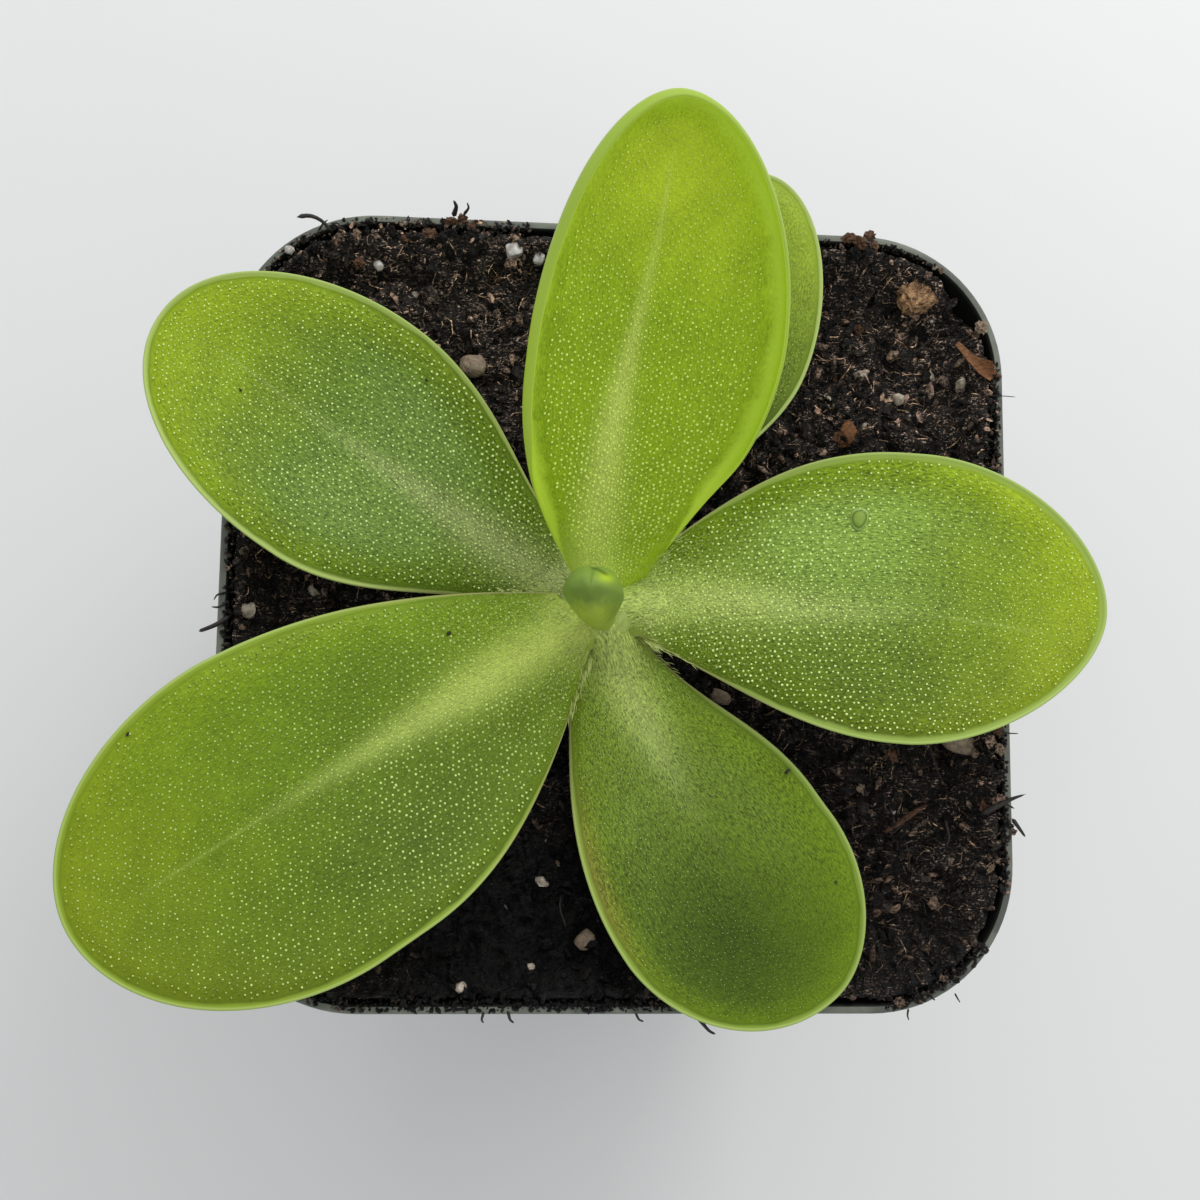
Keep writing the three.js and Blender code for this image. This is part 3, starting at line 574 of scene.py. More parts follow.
def make_soil(paint):
    """The top grid, whose edge drops to a rounded foot and closes underneath."""
    n = SOIL_CELLS
    foot = FLOOR + CLEARANCE
    steps = np.linspace(-1, 1, n + 1)
    u, v = np.meshgrid(steps, steps)
    x, y = soil_spot(u, v, SOIL_TOP_LEVEL)
    points = [np.stack([x, y, soil_top(x, y)], -1).reshape(-1, 3)]
    index = np.arange((n + 1) ** 2).reshape(n + 1, n + 1)
    rim = np.concatenate([index[0, :-1], index[:-1, -1], index[-1, :0:-1], index[:0:-1, 0]])
    faces = [grid_faces(n + 1, n + 1)]
    above, total = rim, len(points[0])
    for z, shrink in ((foot + FOOT_EDGE, 1), (foot, SOIL_FOOT_SHRINK)):
        x, y = soil_spot(u.ravel()[rim], v.ravel()[rim], z)
        points.append(np.stack([x * shrink, y * shrink, np.full(len(x), z)], -1))
        ring = total + np.arange(len(rim))
        faces.append(np.stack([above, ring, np.roll(ring, -1), np.roll(above, -1)], -1))
        above, total = ring, total + len(rim)
    points.append(np.array([[0, 0, foot]]))
    faces.append(np.stack([above, np.full(len(above), total), np.roll(above, -1)], -1))
    points = np.concatenate(points)
    # For painted light and shade: the crests of the fine relief are painted lighter, its hollows
    # darker.
    hump = ease(soil_grain(points[:, 0], points[:, 1]), -0.85, 0.35)
    soil = make_piece("soil_bed", points, faces, paint, {"hump": hump})
    return hand_over(soil, "soil", "soil")


def soil_places(rng, count, inset=0.0):
    """Random places on the soil, even over its area."""
    u, v = rng.uniform(-1, 1, (2, count))
    x, y = soil_spot(u, v, SOIL_TOP_LEVEL)
    shrink = 1 - inset / (RIM_WIDTH / 2)
    return x * shrink, y * shrink


def lumps_at(centres, sizes, turns, rng, levels, roughness):
    """Copies of a ball with each point pushed in or out at random, squeezed to sizes (n, 3),
    turned and set at the centres."""
    points, faces = ball(levels)
    count = len(centres)
    push = 1 + roughness * rng.uniform(-1, 1, (count, len(points), 1))
    lumps = points[None] * push * sizes[:, None]
    lumps = np.einsum("nij,npj->npi", turns, lumps) + centres[:, None]
    return lumps.reshape(-1, 3), repeat_faces([faces], len(points), count)


def loose_lumps(name, centres, radius, flat, rng, paint, slot):
    """Crumbs of a radius each, drawn out and flattened, lying any way round."""
    count = len(centres)
    squeeze = rng.uniform(0.7, 1.3, (count, 3)) * flat * radius[:, None]
    points, faces = lumps_at(centres, squeeze, random_turns(rng, count), rng, 0, 0.28)
    tone = np.repeat(rng.uniform(size=count), len(points) // count)
    return hand_over(make_piece(name, points, faces, paint, {"tone": tone}, smooth=False), slot)


def make_crumbs(name, count, sizes, sunk, seed, paint, slot):
    """Loose crumbs on the soil: few large ones and many small, by the cube of a random number."""
    rng = np.random.default_rng(seed)
    x, y = soil_places(rng, count)
    radius = lerp(*sizes, rng.uniform(size=count) ** 3) / 2
    centres = np.stack([x, y, soil_top(x, y) + radius * (1 - 2 * sunk)], -1)
    return loose_lumps(name, centres, radius, [1.45, 0.9, 0.5], rng, paint, slot)


def make_spill(name, paint):
    """Crumbs that lie on the rim, in stretches of it given by azimuth."""
    rng = np.random.default_rng(SPILL_SEED)
    angle = np.concatenate([np.radians(rng.uniform(low, high, count))
                            for low, high, count, _ in RIM_SPILLS])
    inset = np.concatenate([rng.uniform(outmost, SPILL_INMOST, count)
                            for _, _, count, outmost in RIM_SPILLS])
    reach = square_reach(RIM_WIDTH / 2 - inset, RIM_CORNER - inset, angle)
    radius = lerp(*SPILL_SIZES, rng.uniform(size=len(angle)) ** 2)
    height = POT_HEIGHT + 0.3 * radius - 0.5 * ease(inset, 0.9, 1.6)
    centres = np.stack([reach * np.cos(angle), reach * np.sin(angle), height], -1)
    return loose_lumps(name, centres, radius, [1.5, 0.9, 0.6], rng, paint, "soil")


def make_fibres(name, count, lengths, radius, seed, paint):
    """Short plant fibres lying on the soil: spindles of three sides on a bent line whose height
    follows the soil under it."""
    rng = np.random.default_rng(seed)
    x, y = soil_places(rng, count, 0.6)
    length = lerp(*lengths, rng.uniform(size=count) ** 2.5)
    heading = rng.uniform(0, 2 * math.pi, count)
    bend = rng.normal(0, 0.9, count)
    share = np.array([-0.5, -0.2, 0.2, 0.5])
    turn = heading[:, None] + bend[:, None] * share
    px = x[:, None] + length[:, None] * share * np.cos(turn)
    py = y[:, None] + length[:, None] * share * np.sin(turn)
    lift = rng.uniform(0.0, 0.25, (count, 1))
    lift = lift + rng.uniform(-0.12, 0.3, (count, 4)) * length[:, None] / 3
    paths = np.stack([px, py, soil_top(px, py) + lift], -1)
    thick = radius * rng.uniform(0.5, 1.5, (count, 1)) * np.ones((1, 4))
    points, faces = strands(paths, thick, 3)
    tone = np.repeat(rng.uniform(size=count), len(points) // count)
    return hand_over(make_piece(name, points, faces, paint, {"tone": tone}), "soil")


# ---------------------------------------------------------------- bits on the soil

BITS = {  # x and y, then length, width and height, then the turn about z
    "bark_chip": ((29.8, 32.4), (3.4, 2.9, 1.7), 25),
    "wood_sliver_right": ((28.7, -19.8), (4.8, 0.6, 0.7), 33),
    "quartz_grain_1": ((-10.9, 35.2), (1.7, 1.5, 1.3), 15),
    "quartz_grain_2": ((-8.4, 34.6), (1.2, 1.1, 1.0), 70),
    "quartz_grain_3": ((-24.1, 33.4), (1.0, 0.9, 0.8), 130),
    "stone_back": ((-14.7, 24.3), (2.6, 2.2, 1.8), 0),
    "stone_right": ((34.0, -12.2), (4.0, 2.4, 1.8), -12),
    "stone_front": ((-2.8, -31.6), (2.0, 1.7, 1.4), 45),
    "stone_middle": ((10.6, -8.0), (2.2, 1.4, 1.3), -20),
}
BIT_KINDS = {  # squareness, roughness, grain, slot, crease
    "bark": (0.6, 0.22, 3.2, "bark", None),
    "wood": (0.85, 0.14, 2.2, "wood", None),
    "quartz": (0.8, 0.1, 1.5, "quartz", 24),
    "stone": (0.85, 0.09, 1.6, "stone", None),
}
BIT_SUNK = 0.3
BIT_LEVELS = 4


def lie(x, y):
    """The height on which something rests: the soil's top, or the rim beyond it."""
    reach = soil_reach(np.arctan2(y, x), SOIL_TOP_LEVEL)
    return np.where(np.hypot(x, y) < reach, soil_top(x, y), POT_HEIGHT)


def bit_place(at, size):
    """A bit lies on the middle height of the soil under it, sunk in by a share of its height."""
    x, y = at
    angle = np.linspace(0, 2 * math.pi, 12, endpoint=False)
    level = np.mean(lie(x + size[0] / 3 * np.cos(angle), y + size[0] / 3 * np.sin(angle)))
    return np.array([x, y, level + size[2] * (0.5 - BIT_SUNK)])


def rough_lump(size, turn, place, seed, square, rough, grain):
    """A ball drawn out to size: square below 1 pushes its directions towards a box's corners,
    as a superellipsoid does, and two layers of noise in space roughen it."""
    points, faces = ball(BIT_LEVELS)
    boxed = np.sign(points) * np.abs(points) ** square
    boxed = boxed / np.max(np.abs(boxed), axis=-1, keepdims=True) ** (1 - square)
    coarse = noise3(points * grain + seed, seed)
    fine = noise3(points * grain * 3.1 + seed, seed + 1)
    push = 1 + rough * coarse + 0.45 * rough * fine
    lump = boxed * push[:, None] * np.array(size) / 2
    c, s = math.cos(math.radians(turn)), math.sin(math.radians(turn))
    spin = np.array([[c, -s, 0], [s, c, 0], [0, 0, 1]])
    return lump @ spin.T + place, [faces]


def make_bits(paints):
    """Every bit's finer form, by the kind that its name begins with."""
    for index, (name, (at, size, turn)) in enumerate(BITS.items()):
        kind = name.split("_")[0]
        square, rough, grain, slot, crease = BIT_KINDS[kind]
        points, faces = rough_lump(size, turn, bit_place(at, size), index + 1, square, rough, grain)
        piece = make_piece(name + "_fine", points, faces, paints[kind], crease=crease)
        hand_over(piece, slot, name)


FLAKE_ROWS, FLAKE_SIDES = 48, 16
SLIVER_LINE = [(-2.5, 0, 0.5), (-1.6, 0.05, 0.25), (-0.2, -0.1, 0.3), (1.4, 0.05, 0.15),
               (2.5, 0.1, 0.4)]
SLIVER_WIDTHS = [0.28, 0.36, 0.5, 0.95, 0.62]
CURL_WIDTHS = [0.5, 0.8, 0.9, 0.9, 0.85, 0.8, 0.8, 0.7, 0.7, 0.6, 0.5, 0.3]
CURL_TURN = (-0.6, 5.4)  # radians, from the strip's first knot to its last
CURL_RADIUS = (1.15, 0.45)


def flake(line, widths, thickness, curl, turn, place):
    """A strip of wood along a line of (x, y, z) knots, with its half width at each knot and its
    width along y. Across, it bows up by its curl, and both its faces share the edge."""
    knots = np.linspace(0, 1, len(line))
    share = np.linspace(0, 1, FLAKE_ROWS)
    middle = np.stack([np.interp(share, knots, part) for part in np.array(line, float).T], -1)
    half = np.interp(share, knots, widths)
    along = unit(np.gradient(middle, axis=0))
    across = unit(np.array([0.0, 1.0, 0.0]) - along * along[:, 1:2])
    up = np.cross(along, across)
    angle = np.linspace(0, 2 * math.pi, FLAKE_SIDES, endpoint=False)[None]
    ragged = 1 + 0.12 * noise(np.cos(angle) * 2 + share[:, None] * 9, np.sin(angle) * 2, 5)
    side = half[:, None] * ragged * np.cos(angle)
    rise = thickness / 2 * np.sin(angle) + curl * (side / widths[1]) ** 2
    rings = middle[:, None] + across[:, None] * side[..., None] + up[:, None] * rise[..., None]
    points, faces = loft(rings, middle[0], middle[-1])
    c, s = math.cos(math.radians(turn)), math.sin(math.radians(turn))
    return points @ np.array([[c, s, 0], [-s, c, 0], [0, 0, 1]]) + place, faces


def make_flakes(paint):
    """The sliver by the right wall, a wedge with a notched end, and the curl, a strip that rolls
    up on itself; their line's own x runs along them."""
    points, faces = flake(SLIVER_LINE, SLIVER_WIDTHS, 0.28, 0.15, -44,
                          (35.1, 25.5, float(lie(34.8, 25.5)) + 0.35))
    hand_over(make_piece("wood_sliver_back_right_fine", points, faces, paint), "wood",
              "wood_sliver_back_right")
    turn = np.linspace(*CURL_TURN, len(CURL_WIDTHS))
    radius = lerp(*CURL_RADIUS, np.linspace(0, 1, len(CURL_WIDTHS)))
    curl = np.stack([radius * np.sin(turn) * 1.15, 0.25 * turn - 0.5,
                     0.8 - radius * np.cos(turn)], -1)
    points, faces = flake(curl, CURL_WIDTHS, 0.16, 0.1, -35,
                          (23.0, 18.8, float(lie(23.0, 18.8)) + 0.2))
    hand_over(make_piece("wood_curl_fine", points, faces, paint), "wood", "wood_curl")


# Small loose things, each (x, y, size) by the kind of stuff; they lie where they fall.
SPECKS = {
    "quartz": [(31.7, 30.3, 0.6), (-32.6, 34.0, 1.0), (27.6, -19.2, 0.8), (-17.9, 31.4, 0.5),
               (29.5, 20.6, 0.4), (35.6, 13.5, 0.5)],
    "grey": [(24.8, 25.0, 1.8), (28.4, 22.4, 1.5), (34.3, 23.4, 1.8), (-7.0, -26.1, 1.5),
             (-35.2, -1.0, 2.2), (21.5, 22.5, 1.0), (32.0, 24.9, 1.5), (-14.6, -35.6, 1.4),
             (-8.0, -34.2, 1.0), (-29.6, 1.4, 1.2), (-20.6, 31.2, 1.0), (25.0, 19.6, 0.9)],
    "stone": [(32.8, -23.9, 1.1), (36.9, -13.0, 1.1), (35.9, 29.0, 1.2), (31.2, 35.0, 0.7),
              (31.9, 34.7, 0.6), (-27.6, 30.0, 0.9), (-9.0, 30.6, 0.8), (-5.5, -24.4, 0.6),
              (36.0, -24.4, 0.9), (-36.0, 4.6, 1.3), (24.3, -16.9, 1.1), (31.4, -27.5, 0.7)],
    "bark": [(24.4, 29.5, 1.1), (25.9, 21.2, 0.7), (29.0, 28.0, 0.9), (37.6, 24.0, 0.8),
             (27.4, -13.6, 2.2), (-17.2, 37.6, 1.5), (-16.0, 37.9, 1.2),
             (-15.0, 37.3, 1.0), (24.6, 38.0, 1.2), (22.4, 37.6, 1.5), (23.5, 37.2, 1.7),
             (25.0, 36.9, 1.2), (36.6, -11.2, 0.9), (-19.2, 36.4, 1.3), (-21.4, 35.8, 0.9),
             (-26.0, 33.4, 1.2), (-12.4, 33.0, 1.1), (22.2, 24.6, 0.8), (21.0, 31.0, 0.9),
             (28.9, -23.4, 0.8), (35.6, -18.6, 1.4), (-33.0, 31.0, 1.0)],
    "peat": [(37.6, -20.4, 0.9), (38.0, -20.9, 0.7), (36.6, -18.0, 1.3), (26.6, -36.9, 0.9),
             (28.3, -36.4, 1.0), (29.7, -35.6, 0.9), (30.9, -34.7, 0.8), (27.6, -35.7, 1.1),
             (25.6, -36.5, 0.8), (24.1, 36.2, 1.7), (22.9, 36.0, 1.4), (-27.9, 35.4, 1.5),
             (-26.2, 36.0, 1.3), (-30.2, 34.4, 1.4), (-31.6, 33.0, 1.2), (-17.2, 36.5, 1.5),
             (-14.9, 36.4, 1.4), (-22.9, 36.4, 1.2), (35.1, -19.0, 1.6), (36.4, -15.6, 1.2)],
}
SPECK_SLOTS = {"quartz": "quartz", "grey": "quartz", "stone": "stone", "bark": "bark",
               "peat": "soil"}
# Threads of root and fibre: their knots (x, y, z), and their thickness at the start and the end.
THREADS = [
    ([(-36.6, -1.5, 76.0), (-37.8, -2.5, 76.6), (-38.9, -3.0, 76.8), (-39.5, -3.2, 76.6)], 0.26, 0.16),
    ([(-36.9, -0.1, 75.9), (-37.8, -0.9, 76.4), (-38.4, -0.9, 76.8)], 0.16, 0.06),
    ([(-37.2, 0.6, 75.9), (-38.0, 0.3, 76.4), (-38.2, -0.3, 76.9)], 0.13, 0.05),
    ([(-31.9, 36.9, 77.2), (-30.6, 37.2, 77.2), (-29.4, 36.8, 76.8), (-28.4, 35.8, 76.2)], 0.24, 0.14),
    ([(-29.9, 36.0, 76.1), (-29.4, 36.6, 76.7), (-28.9, 36.9, 76.9)], 0.12, 0.06),
    ([(-16.9, 38.0, 76.2), (-16.6, 38.6, 77.4), (-16.9, 39.0, 78.0)], 0.30, 0.10),
    ([(-15.9, 38.2, 76.4), (-15.4, 38.6, 77.2), (-15.6, 39.0, 77.6)], 0.18, 0.06),
    ([(36.3, 22.0, 75.9), (37.8, 21.9, 76.5), (39.1, 21.8, 76.6)], 0.05, 0.04),
    ([(36.5, -11.2, 76.0), (37.6, -11.5, 76.5), (38.6, -11.5, 76.6)], 0.09, 0.05),
    ([(34.6, -19.4, 75.9), (36.4, -18.4, 76.6), (37.7, -17.7, 77.0), (38.9, -17.3, 77.3)], 0.42, 0.06),
    ([(35.4, -18.0, 75.8), (37.0, -18.2, 76.5), (38.0, -18.7, 76.6)], 0.26, 0.08),
    ([(37.8, -19.6, 76.3), (38.4, -20.6, 76.7), (39.0, -21.4, 76.6)], 0.24, 0.10),
    ([(27.4, -37.4, 76.3), (27.2, -38.0, 76.6), (27.4, -38.5, 76.4)], 0.12, 0.05),
    ([(31.9, -36.0, 76.2), (32.1, -36.5, 76.5), (32.4, -36.9, 76.3)], 0.10, 0.05),
    ([(6.9, -37.7, 76.1), (7.9, -38.8, 76.5), (8.5, -39.5, 76.3), (9.2, -39.8, 75.9)], 0.22, 0.10),
    ([(-10.2, -37.6, 76.1), (-10.0, -38.4, 76.4), (-9.6, -38.7, 76.3)], 0.18, 0.07),
    ([(-12.4, -37.7, 76.1), (-12.6, -38.4, 76.4), (-12.4, -38.7, 76.2)], 0.15, 0.07),
    ([(1.6, -37.8, 76.1), (1.9, -38.4, 76.4), (2.4, -38.6, 76.2)], 0.14, 0.07),
    ([(29.2, 26.3, 74.9), (31.2, 28.0, 75.5)], 0.07, 0.05),
    ([(28.0, -21.6, 73.6), (28.4, -23.4, 74.0), (28.3, -24.8, 73.7)], 0.08, 0.06),
    ([(26.4, -21.8, 73.4), (27.4, -20.6, 74.0), (28.2, -19.9, 74.0)], 0.06, 0.04),
    ([(32.0, -19.6, 73.7), (32.4, -21.6, 74.0), (32.0, -22.6, 73.7)], 0.16, 0.12),
    ([(30.2, -11.6, 74.2), (30.8, -14.6, 74.8), (32.0, -16.8, 74.3)], 0.08, 0.05),
    ([(-4.6, -30.6, 73.0), (-5.4, -28.4, 73.4), (-5.2, -27.2, 73.0)], 0.10, 0.06),
]
THREAD_STEPS, THREAD_SIDES = 9, 7
FIRST_SPECK_SEED = 30


def make_specks(paints):
    """Each kind of speck as one piece of small rough lumps."""
    for index, (kind, specks) in enumerate(SPECKS.items()):
        rng = np.random.default_rng(FIRST_SPECK_SEED + index)
        x, y, size = np.array(specks).T
        centres = np.stack([x, y, lie(x, y) + 0.05 * size], -1)
        squeeze = np.sort(rng.uniform(0.45, 1.1, (len(x), 3)))[:, ::-1] * size[:, None] / 2
        clear = kind in ("quartz", "grey")
        points, faces = lumps_at(centres, squeeze, random_turns(rng, len(x)), rng,
                                 1 if clear else 2, 0.22 if clear else 0.4)
        tone = np.repeat(rng.uniform(size=len(x)), len(points) // len(x))
        piece = make_piece("specks_of_" + kind, points, faces, paints[kind], {"tone": tone},
                           smooth=False)
        hand_over(piece, SPECK_SLOTS[kind])


def make_threads(paint):
    """Threads along smooth curves: the knots' broken line, taken at even steps and each place
    evened out with its neighbours."""
    share = np.linspace(0, 1, THREAD_STEPS)
    paths, radii = [], []
    for knots, start, end in THREADS:
        at = np.linspace(0, 1, len(knots))
        path = np.stack([np.interp(share, at, part) for part in np.array(knots, float).T], -1)
        path[1:-1] = (path[:-2] + 2 * path[1:-1] + path[2:]) / 4
        paths.append(path)
        radii.append(lerp(start, end, share))
    points, faces = strands(np.array(paths), np.array(radii), THREAD_SIDES)
    tone = np.repeat(np.linspace(0, 0.4, len(THREADS)), len(points) // len(THREADS))
    hand_over(make_piece("loose_threads", points, faces, paint, {"tone": tone}), "bark")


# ---------------------------------------------------------------- leaves

# A leaf is laid out flat from its foot, and its midrib then carries it. Level and azimuth place
# the foot; sweep turns the heading on the way to the tip, and rise is the slope at the foot and
# at the tip. Half widths: at the foot and, a share widest of the way along, the greatest. A pair
# is for the right side and the left. Roll is the margin's radius and how far it turns over.
LEAVES = {
    "leaf_1_upright": dict(
        level=76.6, azimuth=86.2, sweep=-1.35, rise=(50, 28), tilt=-15, length=46.1,
        half=11.45, base_half=(4.0, 3.6), widest=0.542, fullness=(1.04, 1.0),
        hurry=(0.98, 1.1), blunt=1.9, skew=0.05, cup=0.16, roll=(1.15, 140)),
    "leaf_2_front_left": dict(
        level=74.8, azimuth=212.4, sweep=3.0, rise=(24, 12), tilt=3, length=53.05,
        half=15.0, base_half=(4.4, 2.6), widest=0.618, fullness=(0.93, 0.92),
        hurry=(0.96, 1.17), blunt=1.95, skew=-0.06, cup=0.12, roll=(0.32, 70)),
    "leaf_3_right": dict(
        level=74.6, azimuth=9.85, sweep=-25.8, rise=(22, 8), tilt=2, length=44.1,
        half=13.75, base_half=(3.0, 3.7), widest=0.602, fullness=(0.97, 1.06),
        hurry=(1.03, 1.09), blunt=1.82, skew=0.053, cup=0.12, roll=(0.34, 80)),
    "leaf_4_back_left": dict(
        level=73.2, azimuth=149.7, sweep=-4.0, rise=(16, 6), tilt=-2, length=46.6,
        half=12.65, base_half=(3.4, 3.1), widest=0.582, fullness=(1.52, 1.86),
        hurry=(1.02, 1.05), blunt=2.0, skew=-0.015, cup=0.12, roll=(0.34, 80)),
    "leaf_5_front_right": dict(
        level=72.8, azimuth=-70.1, sweep=25.3, rise=(14, 2), tilt=-5, length=39.6,
        half=11.85, base_half=(4.2, 3.7), widest=0.648, fullness=(1.2, 1.48),
        hurry=(0.99, 1.14), blunt=1.9, skew=0.11, cup=0.12, roll=(0.34, 80)),
    "leaf_6_back": dict(
        level=71.6, azimuth=72.5, sweep=-8.4, rise=(15, 5), tilt=-6.5, length=43.2,
        half=10.65, base_half=2.6, widest=0.605, fullness=2.6, blunt=1.85, skew=-0.026,
        cup=0.12, roll=(0.34, 80)),
}
MIDRIB_STEPS = 60
LEAF_ROWS = 100
LEAF_COLUMNS = 34
COLUMN_CROWDING = 1.6
EDGE_ROUNDING = 0.32
BASE_ROWS = 8
BASE_REACH = 2.7  # how far the blade goes on inwards, into the crown
BASE_ROUND = 2.9  # and its half length there, as a half ellipse
BASE_PITCH = 60  # the lie of the rows there: u = -1 would be this far in
OUTLINE_ROWS = 300
BASE_MEET, BASE_DRAWN, BASE_RIDGE = 77.6, 3.5, 2.2
WAVE_HEIGHT = 0.16
WAVE_SIZE = 8.5


class Midrib:
    """The curve that a leaf is built on. Its slope and heading change evenly along it, and at
    each step it has a place and axes along the leaf, to its right and up out of the blade."""

    def __init__(self, leaf):
        share = np.linspace(0, 1, MIDRIB_STEPS + 1)
        heading = math.radians(leaf["azimuth"])
        slope = np.radians(lerp(*leaf["rise"], share))
        turn = heading + math.radians(leaf["sweep"]) * share
        level = np.cos(slope)
        self.along = np.stack([level * np.cos(turn), level * np.sin(turn), np.sin(slope)], -1)
        steps = (self.along[1:] + self.along[:-1]) / 2 * leaf["length"] / MIDRIB_STEPS
        start = [CROWN[0] + LEAF_ROOT_RADIUS * math.cos(heading),
                 CROWN[1] + LEAF_ROOT_RADIUS * math.sin(heading), leaf["level"]]
        self.spot = np.concatenate([[start], start + np.cumsum(steps, 0)])
        flat_right = np.stack([np.sin(turn), -np.cos(turn), np.zeros_like(turn)], -1)
        tilt = math.radians(leaf["tilt"])
        self.right = flat_right * math.cos(tilt) - np.cross(self.along, flat_right) * math.sin(tilt)
        self.up = np.cross(self.right, self.along)
        self.length = leaf["length"]

    def place(self, x, y, z):
        """The point at x along the leaf, y to its right and z above its plane. Below x = 0 it goes
        straight on, into the crown."""
        share = np.clip(x / self.length, 0, 1) * MIDRIB_STEPS
        k = np.minimum(share.astype(int), MIDRIB_STEPS - 1)
        part = (share - k)[..., None]

        def between(values):
            return lerp(values[k], values[k + 1], part)

        inward = np.minimum(x, 0)[..., None] * self.along[0]
        aside = between(self.right) * y[..., None] + between(self.up) * z[..., None]
        return between(self.spot) + aside + inward


def sided(leaf, key, side, plain=1.0):
    """A leaf's value; where it is a pair, the first is for the right side and +1."""
    value = leaf.get(key, plain)
    return np.where(side > 0, *value) if isinstance(value, tuple) else value


def half_widths(leaf, u, side):
    """Half width at the widest place, and on the way to it at u from 0 to 0.5: from the base's
    it swells as a power of a sine, which one side may hurry through."""
    half = leaf["half"] * (1 + side * leaf["skew"])
    base = sided(leaf, "base_half", side) * (1 + side * leaf["skew"])
    turn = np.clip(u * sided(leaf, "hurry", side), 0, 0.5)
    return half, lerp(base, half, np.sin(math.pi * turn) ** sided(leaf, "fullness", side))


def leaf_row(leaf, u, side):
    """Where row u starts on the midrib and meets the outline. From the widest place on, the
    outline is a superellipse, and the rows turn with it, square to the margin. Rows below 0 go
    on inwards at the base's width, closing as a half ellipse."""
    half, swollen = half_widths(leaf, u, side)
    wide = leaf["widest"] * leaf["length"]
    angle = math.pi * (1 - np.clip(u, 0.5, 1))
    reach = leaf["length"] - wide
    along = np.maximum(np.cos(angle), 0) ** (2 / leaf["blunt"])
    across = np.maximum(np.sin(angle), 0) ** (2 / leaf["blunt"]) * (u < 1)
    foot = reach - leaf["half"] ** 2 / reach
    low = u < 0.5
    start = np.where(low, wide * 2 * u, wide + foot * along)
    x = np.where(low, wide * 2 * u, wide + reach * along)
    y = np.where(low, swollen, half * across)
    y = y * np.sqrt(1 - np.clip(-x / BASE_ROUND, 0, 0.97) ** 2)
    return start, x, y


def blade_height(leaf, x, y):
    """The blade above its flat plane: cupped, with a trough on the midrib, and drawn up at its
    foot to where the leaves meet on the crown."""
    y = np.abs(y)
    trough = bump(y, CHANNEL_SPREAD) * (1 - CHANNEL_FADE * np.clip(x, 0, None) / leaf["length"])
    drawn = (BASE_MEET - leaf["level"]) * ease(-x, -BASE_DRAWN, 1.2) * bump(y, BASE_RIDGE)
    return leaf["cup"] * y * y / leaf["half"] - CHANNEL_DEPTH * trough + drawn


def blade_wave(leaf, x, y):
    """A slow unevenness of the blade, none at the base."""
    seed = leaf["azimuth"]
    grown = ease(x / leaf["length"], 0.05, 0.35)
    return WAVE_HEIGHT * grown * turned_noise(x, y, WAVE_SIZE, 0.5, seed)


def blade_thickness(leaf, x, y):
    """The blade's thickness, and a bell on the midrib that sinks towards the tip."""
    rib = bump(y, RIB_SPREAD) * (1 - RIB_FADE * np.clip(x, 0, None) / leaf["length"])
    return lerp(BLADE_THICKNESS, RIB_THICKNESS, rib)


def half_sheet(leaf, midrib, u, side):
    """One side of the leaf's middle surface: places, thickness and marks for every row and
    column. Along a row the columns follow the open blade and then the arc of the rolled margin,
    closer together towards the edge."""
    start, end_x, end_y = (part[:, None] for part in leaf_row(leaf, u, side))
    dx = end_x - start
    width = np.hypot(dx, end_y)
    grown = ease(start / leaf["length"], ROLL_START, ROLL_GROWN)
    radius = leaf["roll"][0] * lerp(ROLL_BASE_RADIUS, 1, grown)
    turn = math.radians(leaf["roll"][1]) * lerp(ROLL_BASE_TURN, 1, grown)
    open_width = width - MARGIN_THICKNESS / 2 - radius * np.sin(np.minimum(turn, math.pi / 2))
    total = open_width + radius * turn
    q = np.linspace(0, 1, LEAF_COLUMNS + 1)[None]
    reach = total * (1 - (1 - q) ** COLUMN_CROWDING)
    flat = np.minimum(reach, open_width)
    angle = np.maximum(reach - open_width, 0) / radius
    distance = flat + radius * np.sin(angle)
    x, y = start + dx * distance / width, end_y * distance / width
    flat_x, flat_y = start + dx * flat / width, end_y * flat / width
    z = blade_height(leaf, flat_x, flat_y) + radius * (1 - np.cos(angle))
    z = z + blade_wave(leaf, flat_x, side * flat_y)
    edge = total - reach
    blade = blade_thickness(leaf, x, y)
    thick = lerp(MARGIN_THICKNESS, blade, ease(edge, radius * turn, radius * turn + 1.5))
    inset = np.clip(edge / EDGE_ROUNDING, 0, 1)
    thick = thick * np.sqrt(1 - (1 - inset) ** 2)
    marks = np.stack([flat_x, side * flat_y, edge], -1)
    return midrib.place(x, side * y, z), thick, marks


def sheet_normals(points, quads):
    """Normals of a sheet: the faces' own, weighed by their size and summed at each point."""
    a, b, c, d = (points[quads[:, k]] for k in range(4))
    face = np.cross(c - a, d - b)
    total = np.zeros_like(points)
    for k in range(4):
        np.add.at(total, quads[:, k], face)
    return unit(total)


def leaf_rows():
    """Each row's u: even steps from 0 to 1, after a few below 0 for the base."""
    inner = -BASE_REACH / BASE_PITCH * np.linspace(1, 0, BASE_ROWS, endpoint=False)
    return np.concatenate([inner, np.linspace(0, 1, LEAF_ROWS + 1)])


